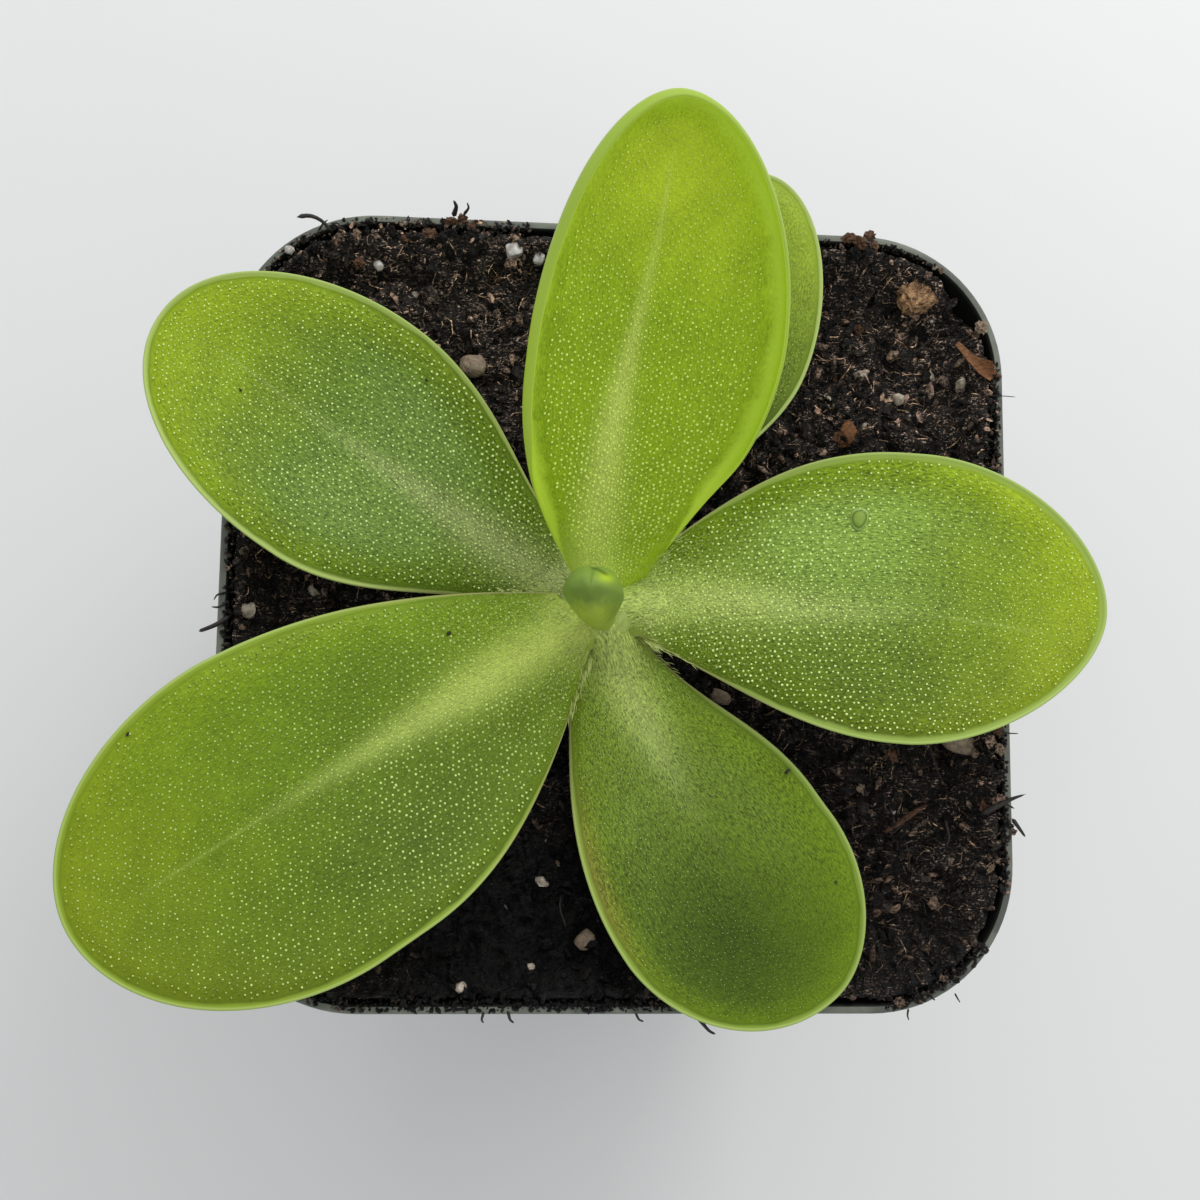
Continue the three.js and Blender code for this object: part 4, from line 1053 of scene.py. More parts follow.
def make_leaf(name, leaf, paint, slot):
    """The middle surface of both sides, joined on the midrib and, at the tip, along the last row,
    with half the thickness to each side of it. The two faces share the points of the margin."""
    midrib = Midrib(leaf)
    u = leaf_rows()
    sides = [half_sheet(leaf, midrib, u, side) for side in (1, -1)]
    rows, columns = len(u), LEAF_COLUMNS + 1
    right = np.arange(rows * columns).reshape(rows, columns)
    left = right + rows * columns
    left[:, 0] = right[:, 0]
    left[-1] = right[-1]
    points, thick, marks = (np.concatenate(parts) for parts in zip(*sides))
    quads = np.concatenate([
        np.stack([right[:-1, :-1], right[:-1, 1:], right[1:, 1:], right[1:, :-1]], -1),
        np.stack([left[:-1, 1:], left[:-1, :-1], left[1:, :-1], left[1:, 1:]], -1),
    ]).reshape(-1, 4)
    points, thick, marks = points.reshape(-1, 3), thick.reshape(-1, 1), marks.reshape(-1, 3)
    offset = sheet_normals(points, quads) * thick / 2
    count = len(points)
    under = count + np.arange(count)
    shared = np.concatenate([right[:, -1], left[:, -1]])
    under[shared] = shared
    base = np.concatenate([left[0, :0:-1], right[0]])
    wall = np.stack([base[:-1], under[base[:-1]], under[base[1:]], base[1:]], -1)
    faces = np.concatenate([quads, under[quads][:, ::-1], wall])
    used, faces = np.unique(faces, return_inverse=True)
    all_points = np.concatenate([points + offset, points - offset])[used]
    all_marks = np.concatenate([marks, marks])[used]
    lower = (used >= count).astype(float)
    faces = faces.reshape(-1, 4)
    piece = make_piece(name + "_blade", all_points, [faces], paint,
                       {"blade": all_marks, "lower": lower})
    return hand_over(piece, slot, name)


def outline(leaf, side):
    """Points on one side of the leaf's flat outline: x along it and y to its right."""
    _, x, y = leaf_row(leaf, np.linspace(0, 1, OUTLINE_ROWS), side)
    return np.stack([x, side * y], -1)


def margin_distance(leaf, x, y):
    """How far inside the outline each point is: its distance to the nearest outline point,
    negative for points that lie outside."""
    rims = np.concatenate([outline(leaf, 1), outline(leaf, -1)])
    spots = np.stack([x, y], -1)
    distance = np.concatenate([
        np.linalg.norm(part[:, None] - rims[None], axis=-1).min(1)
        for part in np.array_split(spots, 8)
    ])
    wide = leaf["widest"] * leaf["length"]
    half, swollen = half_widths(leaf, x / wide / 2, np.sign(y))
    ahead = np.clip((x - wide) / (leaf["length"] - wide), 0, 1)
    limit = np.where(x < wide, swollen, half * (1 - ahead ** leaf["blunt"]) ** (1 / leaf["blunt"]))
    inside = (np.abs(y) < limit) & (x > 0) & (x < leaf["length"])
    return np.where(inside, distance, -distance)


GLAND_JITTER = 0.14
GLAND_ROWS_APART = 0.866  # the rows of a hexagonal net, as a share of its spacing
GLAND_CROWDING = 0.3  # how much closer they stand at the midrib and the foot
CROWDED_LENGTH, CROWDED_WIDTH = 9, 2.5
GLAND_LOST = 0.04  # the share of glands that carry no drop
GLAND_SIDES = 5
GLAND_ASIDE = [0.3, 0.2, 0.93]  # a direction that no blade faces
DEW_LIFT, DEW_SHOULDER, DEW_RISE, DEW_TOP = 0.1, 0.66, 0.5, 0.72  # in radii of the drop
SLOPE_STEP = 0.05
GLANDS = {  # spacing, a drop's radius, the bare margin's width, the tone's lean and its fading
    "leaf_1_upright": (0.60, 0.130, 1.9, 0.0, 0.75),
    "leaf_2_front_left": (0.60, 0.118, 0.9, -0.25, 0.15),
    "leaf_3_right": (0.64, 0.115, 0.9, 0.1, 0.1),
    "leaf_4_back_left": (0.62, 0.113, 0.9, 0.0, 0.0),
    "leaf_5_front_right": (0.50, 0.065, 1.0, 0.6, 0.0),
    "leaf_6_back": (0.46, 0.066, 0.8, 0.0, 0.3),
}


def gland_places(leaf, rng, spacing, clear):
    """A hexagonal net over the leaf, each knot moved a little at random, drawn closer together
    towards the midrib and the base. Knots too near the margin are left out."""
    columns = int(leaf["length"] / spacing) + 8
    rows = int(2.6 * leaf["half"] / (spacing * GLAND_ROWS_APART)) + 8
    i, j = np.meshgrid(np.arange(-4, int(columns * 1.5)), np.arange(-rows, rows))
    x = (i + 0.5 * (j % 2)) * spacing
    y = j * spacing * GLAND_ROWS_APART
    x = x + rng.normal(0, GLAND_JITTER * spacing, x.shape)
    y = y + rng.normal(0, GLAND_JITTER * spacing, x.shape)
    x = x - GLAND_CROWDING * CROWDED_LENGTH * np.tanh(x / CROWDED_LENGTH)
    y = y - GLAND_CROWDING * CROWDED_WIDTH * np.tanh(y / CROWDED_WIDTH)
    x, y = x.ravel(), y.ravel()
    near = (x > 0.3) & (x < leaf["length"]) & (np.abs(y) < leaf["half"] * 1.2)
    x, y = x[near], y[near]
    edge = margin_distance(leaf, x, y)
    keep = (edge > clear) & (rng.uniform(size=len(x)) > GLAND_LOST)
    return x[keep], y[keep], edge[keep]


def surface_at(leaf, midrib, x, y):
    """Places on the upper face and its normals there, from the slope of the middle surface."""

    def middle(x, y):
        return midrib.place(x, y, blade_height(leaf, x, y) + blade_wave(leaf, x, y))

    ahead = middle(x + SLOPE_STEP, y) - middle(x - SLOPE_STEP, y)
    aside = middle(x, y + SLOPE_STEP) - middle(x, y - SLOPE_STEP)
    normal = unit(np.cross(aside, ahead))
    return middle(x, y) + normal * blade_thickness(leaf, x, y)[:, None] / 2, normal


def make_glands(name, leaf, paint, slot, spacing, size, clear, favour, fading):
    """Dew drops on the glands: low domes with a pole on top, two rings below it, and a pole
    inside the blade, smaller on the midrib, at the foot and towards the tip. Each has a tone, by
    which the material makes it bright or faint: on one half of the blade more than on the other,
    by the leaf's favour, and less to the tip."""
    rng = np.random.default_rng(int(leaf["azimuth"] * 10) % 997)
    midrib = Midrib(leaf)
    x, y, edge = gland_places(leaf, rng, spacing, clear)
    spot, normal = surface_at(leaf, midrib, x, y)
    count = len(x)
    grown = lerp(0.8, 1, ease(np.abs(y), 0.4, 2.5))
    grown = grown * lerp(0.8, 1, ease(x / leaf["length"], 0.03, 0.2))
    tone = rng.uniform(size=count) * (1 + favour * np.tanh(y / 5))
    tone = tone * (1.1 - 1.1 * fading * ease(x / leaf["length"], 0.4, 0.85))
    patchy = 1 + 0.12 * turned_noise(x, y, 7.0, 0.3, leaf["azimuth"])
    nearer = 1.12 - 0.3 * ease(x / leaf["length"], 0.2, 0.9)
    radius = size * grown * patchy * nearer * rng.uniform(0.8, 1.18, count)
    ring = circles(normal, GLAND_ASIDE, GLAND_SIDES) * radius[:, None, None]
    out = normal[:, None] * radius[:, None, None]
    middle = spot[:, None] + DEW_LIFT * out
    shoulder = middle + DEW_SHOULDER * ring + DEW_RISE * out
    dew = np.concatenate([middle - out, middle + ring, shoulder, middle + DEW_TOP * out], axis=1)
    _, faces = loft(np.stack([ring[0], ring[0]]), (0, 0, 0), (0, 0, 1))
    points_each = 2 * GLAND_SIDES + 2
    marks = np.stack([x, y, edge], -1)
    piece = make_piece(name + "_dew", dew.reshape(-1, 3), repeat_faces(faces, points_each, count),
                       paint, {"blade": np.repeat(marks, points_each, 0),
                               "lower": np.zeros(count * points_each),
                               "tone": np.repeat(tone, points_each)})
    return hand_over(piece, slot)


WATER_LEAF = "leaf_3_right"
WATER_DROP, WATER_SIZE, WATER_HEIGHT = (21.2, -6.6), (0.75, 1.15), 0.45
WATER_RINGS, WATER_SIDES = 10, 40


def make_water_drop(paint):
    """A drop of water on the right leaf: a low dome over the blade, drawn out across it, whose
    height is the root of 1 minus the square of how far out it is."""
    leaf = LEAVES[WATER_LEAF]
    around = np.linspace(0, 2 * math.pi, WATER_SIDES, endpoint=False)
    steps = np.linspace(0.98, 0.08, WATER_RINGS)[:, None]
    uneven = 1 + 0.08 * np.sin(2 * around + 1) + 0.05 * np.sin(3 * around)
    x = WATER_DROP[0] + WATER_SIZE[0] * steps * uneven * np.cos(around)
    y = WATER_DROP[1] - WATER_SIZE[1] * steps * uneven * np.sin(around)
    spot, normal = surface_at(leaf, Midrib(leaf), x.ravel(), y.ravel())
    far_out = np.repeat(steps.ravel(), WATER_SIDES)
    rise = WATER_HEIGHT * np.sqrt(1 - far_out ** 2) - 0.04
    rings = (spot + normal * rise[:, None]).reshape(WATER_RINGS, WATER_SIDES, 3)
    top, below = rings[-1].mean(0), rings[0].mean(0) - 0.3 * normal[0]
    points, faces = loft(rings, below, top)
    out = np.concatenate([[1], far_out, [0]])
    hand_over(make_piece("water_drop", points, faces, paint, {"out": out}), "leaf_green")


DUST_SEED = 61
LEAF_DUST = [  # leaf, x, y and size
    ("leaf_2_front_left", 11.9, 5.5, 0.5), ("leaf_2_front_left", 40.7, 11.9, 0.3),
    ("leaf_4_back_left", 36.6, -2.0, 0.3), ("leaf_4_back_left", 23.4, 9.0, 0.35),
    ("leaf_5_front_right", 19.6, -9.4, 0.5), ("leaf_5_front_right", 31.3, -6.9, 0.25),
]


def make_leaf_dust(paint):
    """Dark specks of peat that have fallen on the leaves."""
    rng = np.random.default_rng(DUST_SEED)
    spots = []
    for name, x, y, size in LEAF_DUST:
        leaf = LEAVES[name]
        spot, normal = surface_at(leaf, Midrib(leaf), np.array([x]), np.array([y]))
        spots.append(spot[0] + 0.2 * size * normal[0])
    sizes = np.array([dust[3] for dust in LEAF_DUST])[:, None] * [0.7, 0.35, 0.3]
    points, faces = lumps_at(np.array(spots), sizes, random_turns(rng, len(spots)), rng, 1, 0.3)
    tone = np.zeros(len(points))
    hand_over(make_piece("leaf_dust", points, faces, paint, {"tone": tone}), "soil")


HAIR_COUNTS = [170, 330, 300, 120, 120, 50]  # on each leaf, in their order
HAIRS_ON_MARGIN = 0.3  # the share of them that lean out over it
HAIR_RADII = [0.023, 0.023, 0.019, 0.009]
MARGIN_HAIRS_THICKER = 1.25
FIRST_HAIR_SEED = 50


def make_hairs(name, leaf, paint, slot, count, seed):
    """Fine pale hairs on the base, longer towards the crown: some of them lean out over the
    margins, the others lie on the face and point to the tip. Each starts a little below the
    blade, goes straight along its lean, and bends by a curl that grows as the square of its
    length."""
    rng = np.random.default_rng(seed)
    midrib = Midrib(leaf)
    side = rng.choice([-1.0, 1.0], count)
    outer = rng.uniform(size=count) < HAIRS_ON_MARGIN
    x = 0.2 + np.where(outer, 5, 8) * rng.uniform(size=count) ** 1.3
    half = half_widths(leaf, x / leaf["widest"] / leaf["length"] / 2, side)[1]
    from_edge = np.where(outer, rng.exponential(0.2, count), half * rng.uniform(0.05, 0.9, count))
    y = side * np.maximum(half - 0.12 - from_edge, 0.1)
    spot, normal = surface_at(leaf, midrib, x, y)
    outward = unit(surface_at(leaf, midrib, x, y + side * 0.3)[0] - spot)
    ahead = unit(surface_at(leaf, midrib, x + 0.3, y)[0] - spot)
    length = np.where(outer, rng.uniform(0.6, 1.3, count), rng.uniform(0.3, 0.75, count))[:, None]
    length = length * (1 + 0.9 * bump(x, 1.6)[:, None])
    spread = np.where(outer, rng.uniform(0.5, 1.1, count), rng.normal(0, 0.35, count))[:, None]
    lean = unit(outward * spread + ahead * rng.uniform(0.3, 1.0, (count, 1))
                + normal * rng.uniform(0.3, 0.8, (count, 1)))
    curl = unit(ahead + normal * rng.uniform(-0.6, 0.2, (count, 1)))
    share = np.array([-0.1, 0.3, 0.65, 1.0])[None, :, None]
    bend = lean[:, None] * share + 0.3 * curl[:, None] * share ** 2
    paths = spot[:, None] + length[:, None] * bend
    radii = np.where(outer, MARGIN_HAIRS_THICKER, 1.0)[:, None] * HAIR_RADII
    points, faces = strands(paths, radii, 3)
    return hand_over(make_piece(name + "_hairs", points, faces, paint), slot)


# ---------------------------------------------------------------- young leaf

YOUNG = dict(foot=(-0.4, -0.75), height=15, base_half=1.4, width=5.3, depth=5.2, shoulder=0.74,
             lean=(-2.3, 0.7), keel=0.42, cleft=(90, 0.09, 14), grown=(0.2, 0.85))
DOME_END = 0.985 * 0.5 * math.pi  # just short of the dome's pole
YOUNG_ROWS, YOUNG_SIDES = 60, 96


def make_young_leaf(paint):
    """Rings round a leaning axis: the lower half of them swell from the foot to the shoulder, the
    upper half close in a dome. The two margins meet in a cleft down the back, and the midrib is
    a keel in front."""
    foot = np.array([CROWN[0] + YOUNG["foot"][0], CROWN[1] + YOUNG["foot"][1],
                     STEM_TOP + CLEARANCE])
    row = np.linspace(0, 1, YOUNG_ROWS)[:, None]
    climb = np.minimum(1, 2 * row)
    dome = np.maximum(0, 2 * row - 1) * DOME_END
    share = lerp(YOUNG["shoulder"] * climb, 1, np.sin(dome))
    swell = ease(climb, 0, 1)
    half_width = lerp(YOUNG["base_half"], YOUNG["width"] / 2, swell) * np.cos(dome)
    half_depth = lerp(YOUNG["base_half"], YOUNG["depth"] / 2, swell) * np.cos(dome)
    around = np.linspace(0, 2 * math.pi, YOUNG_SIDES, endpoint=False)[None]
    azimuth, depth, spread = YOUNG["cleft"]
    off = angle_between(around, math.radians(azimuth))
    grown = ease(share, *YOUNG["grown"])
    cleft = 1 - depth * grown * bump(off, math.radians(spread))
    pinch = 1 - YOUNG["keel"] * swell * np.maximum(0, -np.sin(around))
    sunk = 0.25 * bump(off, math.radians(spread * 0.6)) * np.sin(dome) * np.cos(dome) * 2
    x = foot[0] + YOUNG["lean"][0] * share + half_width * cleft * pinch * np.cos(around)
    y = foot[1] + YOUNG["lean"][1] * share + half_depth * cleft * np.sin(around)
    z = foot[2] + YOUNG["height"] * share - sunk + 0 * around
    rings = np.stack([x, y, z], -1)
    top = foot + [*YOUNG["lean"], YOUNG["height"]]
    points, faces = loft(rings, foot, top)
    share_all = np.concatenate([[0], np.repeat(share.ravel(), YOUNG_SIDES), [1]])
    axis = foot[:2] + np.outer(share_all, YOUNG["lean"])
    off_axis = (points[:, :2] - axis) * [2 / YOUNG["width"], 2 / YOUNG["depth"]]
    marks = np.column_stack([off_axis, share_all])
    piece = make_piece("young_leaf_fold", points, faces, paint, {"fold": marks})
    return hand_over(piece, "leaf_young_green", "young_leaf")


# ---------------------------------------------------------------- materials

LEAF_COLOURS = ("middle", "tip", "base", "rib", "margin", "bloom")
LEAF_SHARES = ("band", "haze", "crease", "lean", "reach", "dusk", "flush", "veer", "grit",
               "clear", "bow")
# Linear colours, of which the sheen colour is painted sheen, the window's reflection laid on the
# blade as colour; band, the width of the pale margin, and veer and bow, how far to the right the
# rib lies near the foot and from the middle on, in mm; the sheen's strength, and clear, how much
# of that painted sheen the right side lacks; crease, the dark line of painted shade inside the
# band, where the margin rolls over; lean, how much lighter the right side is, which is painted
# light and shade by the side of the blade that faces the lamps; reach, where the rib ends; the
# shade patch, painted shade on the right, and flush, a warm patch there; dew, how bright the
# drops are, partly their pale mucilage and partly painted highlight; and grit, how strong the
# grain is.
LEAF_LOOKS = {
    "leaf_1_upright": dict(
        middle=(0.315, 0.475, 0.010), tip=(0.50, 0.66, 0.022), base=(0.40, 0.56, 0.03),
        rib=(0.64, 0.77, 0.16), margin=(0.62, 0.85, 0.06), bloom=(0.33, 0.49, 0.018),
        drop=(0.84, 1.0, 0.24), band=2.5, veer=-2.0, bow=0.0, haze=0.15, crease=0.0,
        lean=0.06, reach=0.95, dusk=0.0, flush=0.0, dew=0.95, grit=0.6, clear=0.0),
    "leaf_2_front_left": dict(
        middle=(0.151, 0.248, 0.007), tip=(0.192, 0.265, 0.007), base=(0.48, 0.585, 0.09),
        rib=(0.43, 0.53, 0.11), margin=(0.27, 0.38, 0.035), bloom=(0.104, 0.175, 0.006),
        drop=(0.68, 0.88, 0.28), band=0.5, veer=0.0, bow=0.0, haze=0.75, crease=0.2,
        lean=0.26, reach=0.78, dusk=0.0, flush=0.1, dew=0.62, grit=0.7, clear=0.0),
    "leaf_3_right": dict(
        middle=(0.140, 0.225, 0.006), tip=(0.30, 0.41, 0.015), base=(0.42, 0.53, 0.075),
        rib=(0.44, 0.55, 0.15), margin=(0.34, 0.47, 0.09), bloom=(0.255, 0.385, 0.066),
        drop=(0.82, 1.0, 0.38), band=0.7, veer=0.0, bow=2.2, haze=0.9, crease=0.20,
        lean=-0.30, reach=0.72, dusk=0.0, flush=0.1, dew=0.95, grit=1.25, clear=0.75),
    "leaf_4_back_left": dict(
        middle=(0.120, 0.205, 0.008), tip=(0.29, 0.41, 0.013), base=(0.18, 0.225, 0.036),
        rib=(0.34, 0.41, 0.145), margin=(0.40, 0.52, 0.12), bloom=(0.185, 0.298, 0.055),
        drop=(0.82, 1.0, 0.38), band=0.5, veer=0.0, bow=0.0, haze=0.9, crease=0.30,
        lean=0.0, reach=0.8, dusk=0.0, flush=0.1, dew=0.95, grit=1.25, clear=0.0),
    "leaf_5_front_right": dict(
        middle=(0.160, 0.252, 0.012), tip=(0.15, 0.245, 0.008), base=(0.44, 0.56, 0.09),
        rib=(0.38, 0.47, 0.13), margin=(0.27, 0.38, 0.055), bloom=(0.180, 0.270, 0.034),
        drop=(0.70, 0.85, 0.35), band=0.55, veer=0.0, bow=0.0, haze=0.7, crease=0.3,
        lean=-0.06, reach=0.55, dusk=0.9, flush=0.6, dew=0.3, grit=1.3, clear=0.0),
    "leaf_6_back": dict(
        middle=(0.070, 0.118, 0.014), tip=(0.31, 0.43, 0.03), base=(0.095, 0.145, 0.02),
        rib=(0.15, 0.22, 0.045), margin=(0.52, 0.64, 0.20), bloom=(0.092, 0.15, 0.03),
        drop=(0.85, 1.0, 0.40), band=0.35, veer=0.0, bow=0.0, haze=0.2, crease=0.15,
        lean=0.0, reach=0.8, dusk=0.0, flush=0.0, dew=0.5, grit=1.2, clear=0.0),
}
# Colours that every leaf shares.
# painted shade for the dark patch on the right of a blade
DUSK_COLOUR = (0.045, 0.085, 0.004)
FLUSH_COLOUR = (0.34, 0.27, 0.055)
BEAD_COLOUR = (0.80, 0.92, 0.22)
# painted shade in the crease where the margin rolls over
CREASE_COLOUR = (0.03, 0.07, 0.005)
RIM_COLOURS = (0.50, 0.64, 0.20), (0.46, 0.38, 0.20)  # at the tip and at the foot
UNDERSIDE_COLOUR = (0.2, 0.31, 0.07)
BEAD_SPACING = 0.27
LEAF_SEED_STEP = 3.7


def leaf_paint_group():
    """Colour, roughness and relief of a leaf from its marks: x and y on the blade and the
    distance to its margin. Middle runs into Tip along the leaf and near the margin; then come a
    painted sheen, the window's reflection, in the sheen colour over the middle, Base at the foot,
    Rib and its thin vein, a patch of painted shade and a flush. Grit, blotches and side veins
    make all that lighter or darker, and so does the lean to one side, which is painted light and
    shade; fine beads, the margin's crease, a line of painted shade, its band and rim, and the
    underside lie over it."""
    first = LEAF_LOOKS["leaf_2_front_left"]
    inputs = {label.capitalize(): first[label] for label in LEAF_COLOURS}
    inputs |= {label.capitalize(): 0.0 for label in ("length", "seed", *LEAF_SHARES)}
    tree, given, results, group = new_group(
        "leaf_paint", inputs, {"Color": "Color", "Roughness": "Float", "Height": "Float"})
    blade = tree.mark("blade").outputs["Vector"]
    parts = tree.node("SeparateXYZ", {0: blade}).outputs
    x, y, edge = parts[0], tree.math("ABSOLUTE", parts[1]), parts[2]
    layer = tree.plus(edge, given["Seed"])
    flat = tree.node("CombineXYZ", {0: parts[0], 1: parts[1], 2: layer}).outputs[0]
    share = tree.math("DIVIDE", x, given["Length"])
    wander = tree.times(tree.minus(tree.noise(flat, 9, 2), 0.5), 0.24)
    drawn = tree.plus(share, wander)

    colour = tree.mix(tree.share(drawn, 0.56, 1.0), given["Middle"], given["Tip"])
    glow = tree.times(tree.share(edge, 5.0, 0.8), tree.share(drawn, 0.25, 0.8))
    colour = tree.mix(tree.times(glow, 0.5), colour, given["Tip"])
    # Painted sheen: the window's reflection, painted into the colour over the middle of the blade.
    middle = tree.bell(tree.minus(drawn, 0.42), 0.26)
    haze = tree.times(middle, tree.share(edge, 1.5, 6.0))
    clear = tree.times(given["Clear"], tree.share(parts[1], 0.5, 7.0))
    haze = tree.times(haze, tree.minus(1.0, clear))
    colour = tree.mix(tree.times(haze, given["Haze"]), colour, given["Bloom"])
    veer = tree.times(given["Veer"], tree.share(share, 0.85, 0.3))
    bow = tree.times(given["Bow"], tree.share(share, 0.05, 0.45))
    off_rib = tree.minus(parts[1], tree.plus(veer, bow))
    foot = tree.times(tree.share(drawn, 0.36, 0.10), tree.bell(off_rib, 2.0))
    foot = tree.math("MAXIMUM", foot, tree.times(tree.share(drawn, 0.10, 0.0), 0.5))
    colour = tree.mix(foot, colour, given["Base"])

    taper = tree.share(share, 0.75, 0.0)
    rib = tree.bell(off_rib, tree.plus(0.52, tree.times(taper, 2.0)))
    rib = tree.times(rib, tree.share(share, given["Reach"], tree.times(given["Reach"], 0.35)))
    vein = tree.times(tree.bell(off_rib, 0.2), tree.share(share, 0.92, 0.8))
    vein = tree.times(vein, tree.math("POWER", given["Reach"], 2.0))
    rib = tree.math("MAXIMUM", rib, tree.times(vein, 0.5))
    colour = tree.mix(tree.times(rib, 0.78), colour, given["Rib"])
    # A patch of painted shade on the right of the blade, past its middle.
    dusk = tree.times(tree.bell(tree.minus(share, 0.74), 0.30),
                      tree.bell(tree.minus(parts[1], 4.8), 9.5))
    dusk = tree.times(dusk, tree.share(edge, 0.4, 3.0))
    dusk = tree.times(dusk, given["Dusk"])
    colour = tree.mix(dusk, colour, DUSK_COLOUR)
    flush = tree.times(tree.bell(tree.minus(share, 0.48), 0.16), tree.share(parts[1], 1.0, 6.0))
    flush = tree.times(flush, tree.share(edge, 3.0, 0.2))
    colour = tree.mix(tree.times(flush, given["Flush"]), colour, FLUSH_COLOUR)

    blotch = tree.noise(flat, 4.5, 3)
    speck = tree.noise(flat, 0.5, 2, roughness=0.7)
    grit = tree.noise(tree.stretched(flat, (0.45, 1.0, 1.0)), 0.19, 2, roughness=0.6)
    branch = tree.node("CombineXYZ", {
        0: tree.minus(x, tree.times(y, 1.1)),
        1: tree.times(y, 0.12), 2: given["Seed"]}).outputs[0]
    side_veins = tree.noise(branch, 1.6, 1)
    shade = tree.plus(tree.times(blotch, 0.4), 0.725)
    shade = tree.plus(shade, tree.times(side_veins, 0.15))
    speck = tree.minus(speck, 0.5)
    gritty = tree.plus(tree.times(tree.minus(grit, 0.5), 2.2), tree.times(speck, 0.5))
    smooth = tree.times(given["Grit"], tree.share(edge, 0.5, 1.2))
    smoother = tree.times(tree.share(drawn, 0.5, 0.95), 0.45)
    smooth = tree.times(smooth, tree.minus(1.0, smoother))
    shade = tree.plus(shade, tree.times(gritty, smooth))
    # Painted light and shade: the side of the blade that faces the lamps is painted lighter, by the
    # lean.
    tilted = tree.times(tree.math("DIVIDE", parts[1], 12.0), given["Lean"])
    colour = tree.shaded(colour, tree.times(shade, tree.plus(1.0, tilted)))

    cells = tree.node("TexVoronoi", {"Vector": flat, "Scale": 1 / BEAD_SPACING, "Randomness": 0.7},
                      feature="F1").outputs["Distance"]
    beads = tree.share(cells, 0.42, 0.22)
    near = tree.math("MAXIMUM", tree.share(drawn, 0.36, 0.1), tree.times(rib, 0.9))
    beads = tree.times(beads, tree.times(near, 0.22))
    colour = tree.mix(beads, colour, BEAD_COLOUR)

    uneven = tree.plus(0.6, tree.times(tree.noise(flat, 3.0, 2), 0.8))
    band = tree.times(given["Band"], tree.share(share, 0.0, 0.4))
    band = tree.times(band, uneven)
    # The crease: a thin line of painted shade where the margin rolls over the blade.
    crease = tree.bell(tree.minus(edge, tree.plus(band, 0.1)), 0.14)
    crease = tree.times(crease, given["Crease"])
    colour = tree.mix(crease, colour, CREASE_COLOUR)
    soft = tree.times(band, 0.35)
    in_band = tree.share(edge, tree.plus(band, soft), tree.minus(band, soft))
    colour = tree.mix(tree.times(in_band, 0.85), colour, given["Margin"])
    rim = tree.share(edge, 0.30, 0.10)
    rim_tint = tree.mix(tree.share(share, 0.5, 0.15), *RIM_COLOURS)
    rim = tree.times(rim, tree.share(given["Band"], 3.0, 0.8))
    colour = tree.mix(tree.times(rim, 0.5), colour, rim_tint)
    lower = tree.share(tree.mark("lower").outputs["Fac"], 0.4, 0.6)
    beyond = tree.share(edge, given["Band"], tree.plus(given["Band"], 1.2))
    wide = tree.share(given["Band"], 1.0, 2.5)
    curled = tree.times(tree.share(share, 0.5, 0.85), wide)
    curled = tree.plus(0.6, tree.times(curled, 0.35))
    lower = tree.times(lower, tree.math("MAXIMUM", beyond, curled))
    colour = tree.mix(lower, colour, tree.mix(0.6, colour, UNDERSIDE_COLOUR))
    tree.feed(results["Color"], colour)

    rough = tree.plus(0.48, tree.times(speck, 0.16))
    rough = tree.minus(rough, tree.times(in_band, 0.08))
    tree.feed(results["Roughness"], rough)
    height = tree.plus(tree.times(cells, -0.6), tree.times(tree.noise(flat, 0.8, 3), 0.9))
    open_blade = tree.minus(1.0, tree.times(in_band, 0.85))
    tree.feed(results["Height"], tree.times(height, open_blade))
    return group


def placed_paint(tree, group, leaf, looks, seed):
    """The leaf's group, set up with that leaf's colours."""
    node = tree.node("Group", node_tree=group)
    for label in (*LEAF_COLOURS, *LEAF_SHARES):
        tree.feed(node.inputs[label.capitalize()], looks[label])
    tree.feed(node.inputs["Length"], leaf["length"])
    tree.feed(node.inputs["Seed"], seed)
    return node.outputs


def leaf_material(name, group, leaf, looks, seed):
    """A leaf's skin: the leaf's group on a soft, slightly bumpy surface."""
    paint, tree, skin = new_material(
        name + "_skin", **{"IOR": 1.4, "Specular IOR Level": 0.25})
    made = placed_paint(tree, group, leaf, looks, seed)
    tree.feed(skin["Base Color"], made["Color"])
    tree.feed(skin["Roughness"], made["Roughness"])
    tree.feed(skin["Normal"], relief(tree, made["Height"], 0.07, 0.7))
    return paint


def dew_material(name, group, leaf, looks, seed):
    """Glossy mucilage: the leaf's own colour, lightened by each drop's tone towards its drop colour,
    which is partly the mucilage's pale tint and partly painted highlight, the light the drops catch.
    """
    paint, tree, skin = new_material(
        name + "_dew", **{"Roughness": 0.22, "IOR": 1.4, "Specular IOR Level": 0.2})
    made = placed_paint(tree, group, leaf, looks, seed)
    tone = tree.mark("tone").outputs["Fac"]
    # Partly painted highlight: the drops are painted much paler than the leaf under them.
    bright = tree.plus(0.25, tree.times(tone, 1.2))
    bright = tree.times(bright, looks["dew"])
    tree.feed(skin["Base Color"], tree.mix(bright, made["Color"], looks["drop"]))
    return paint


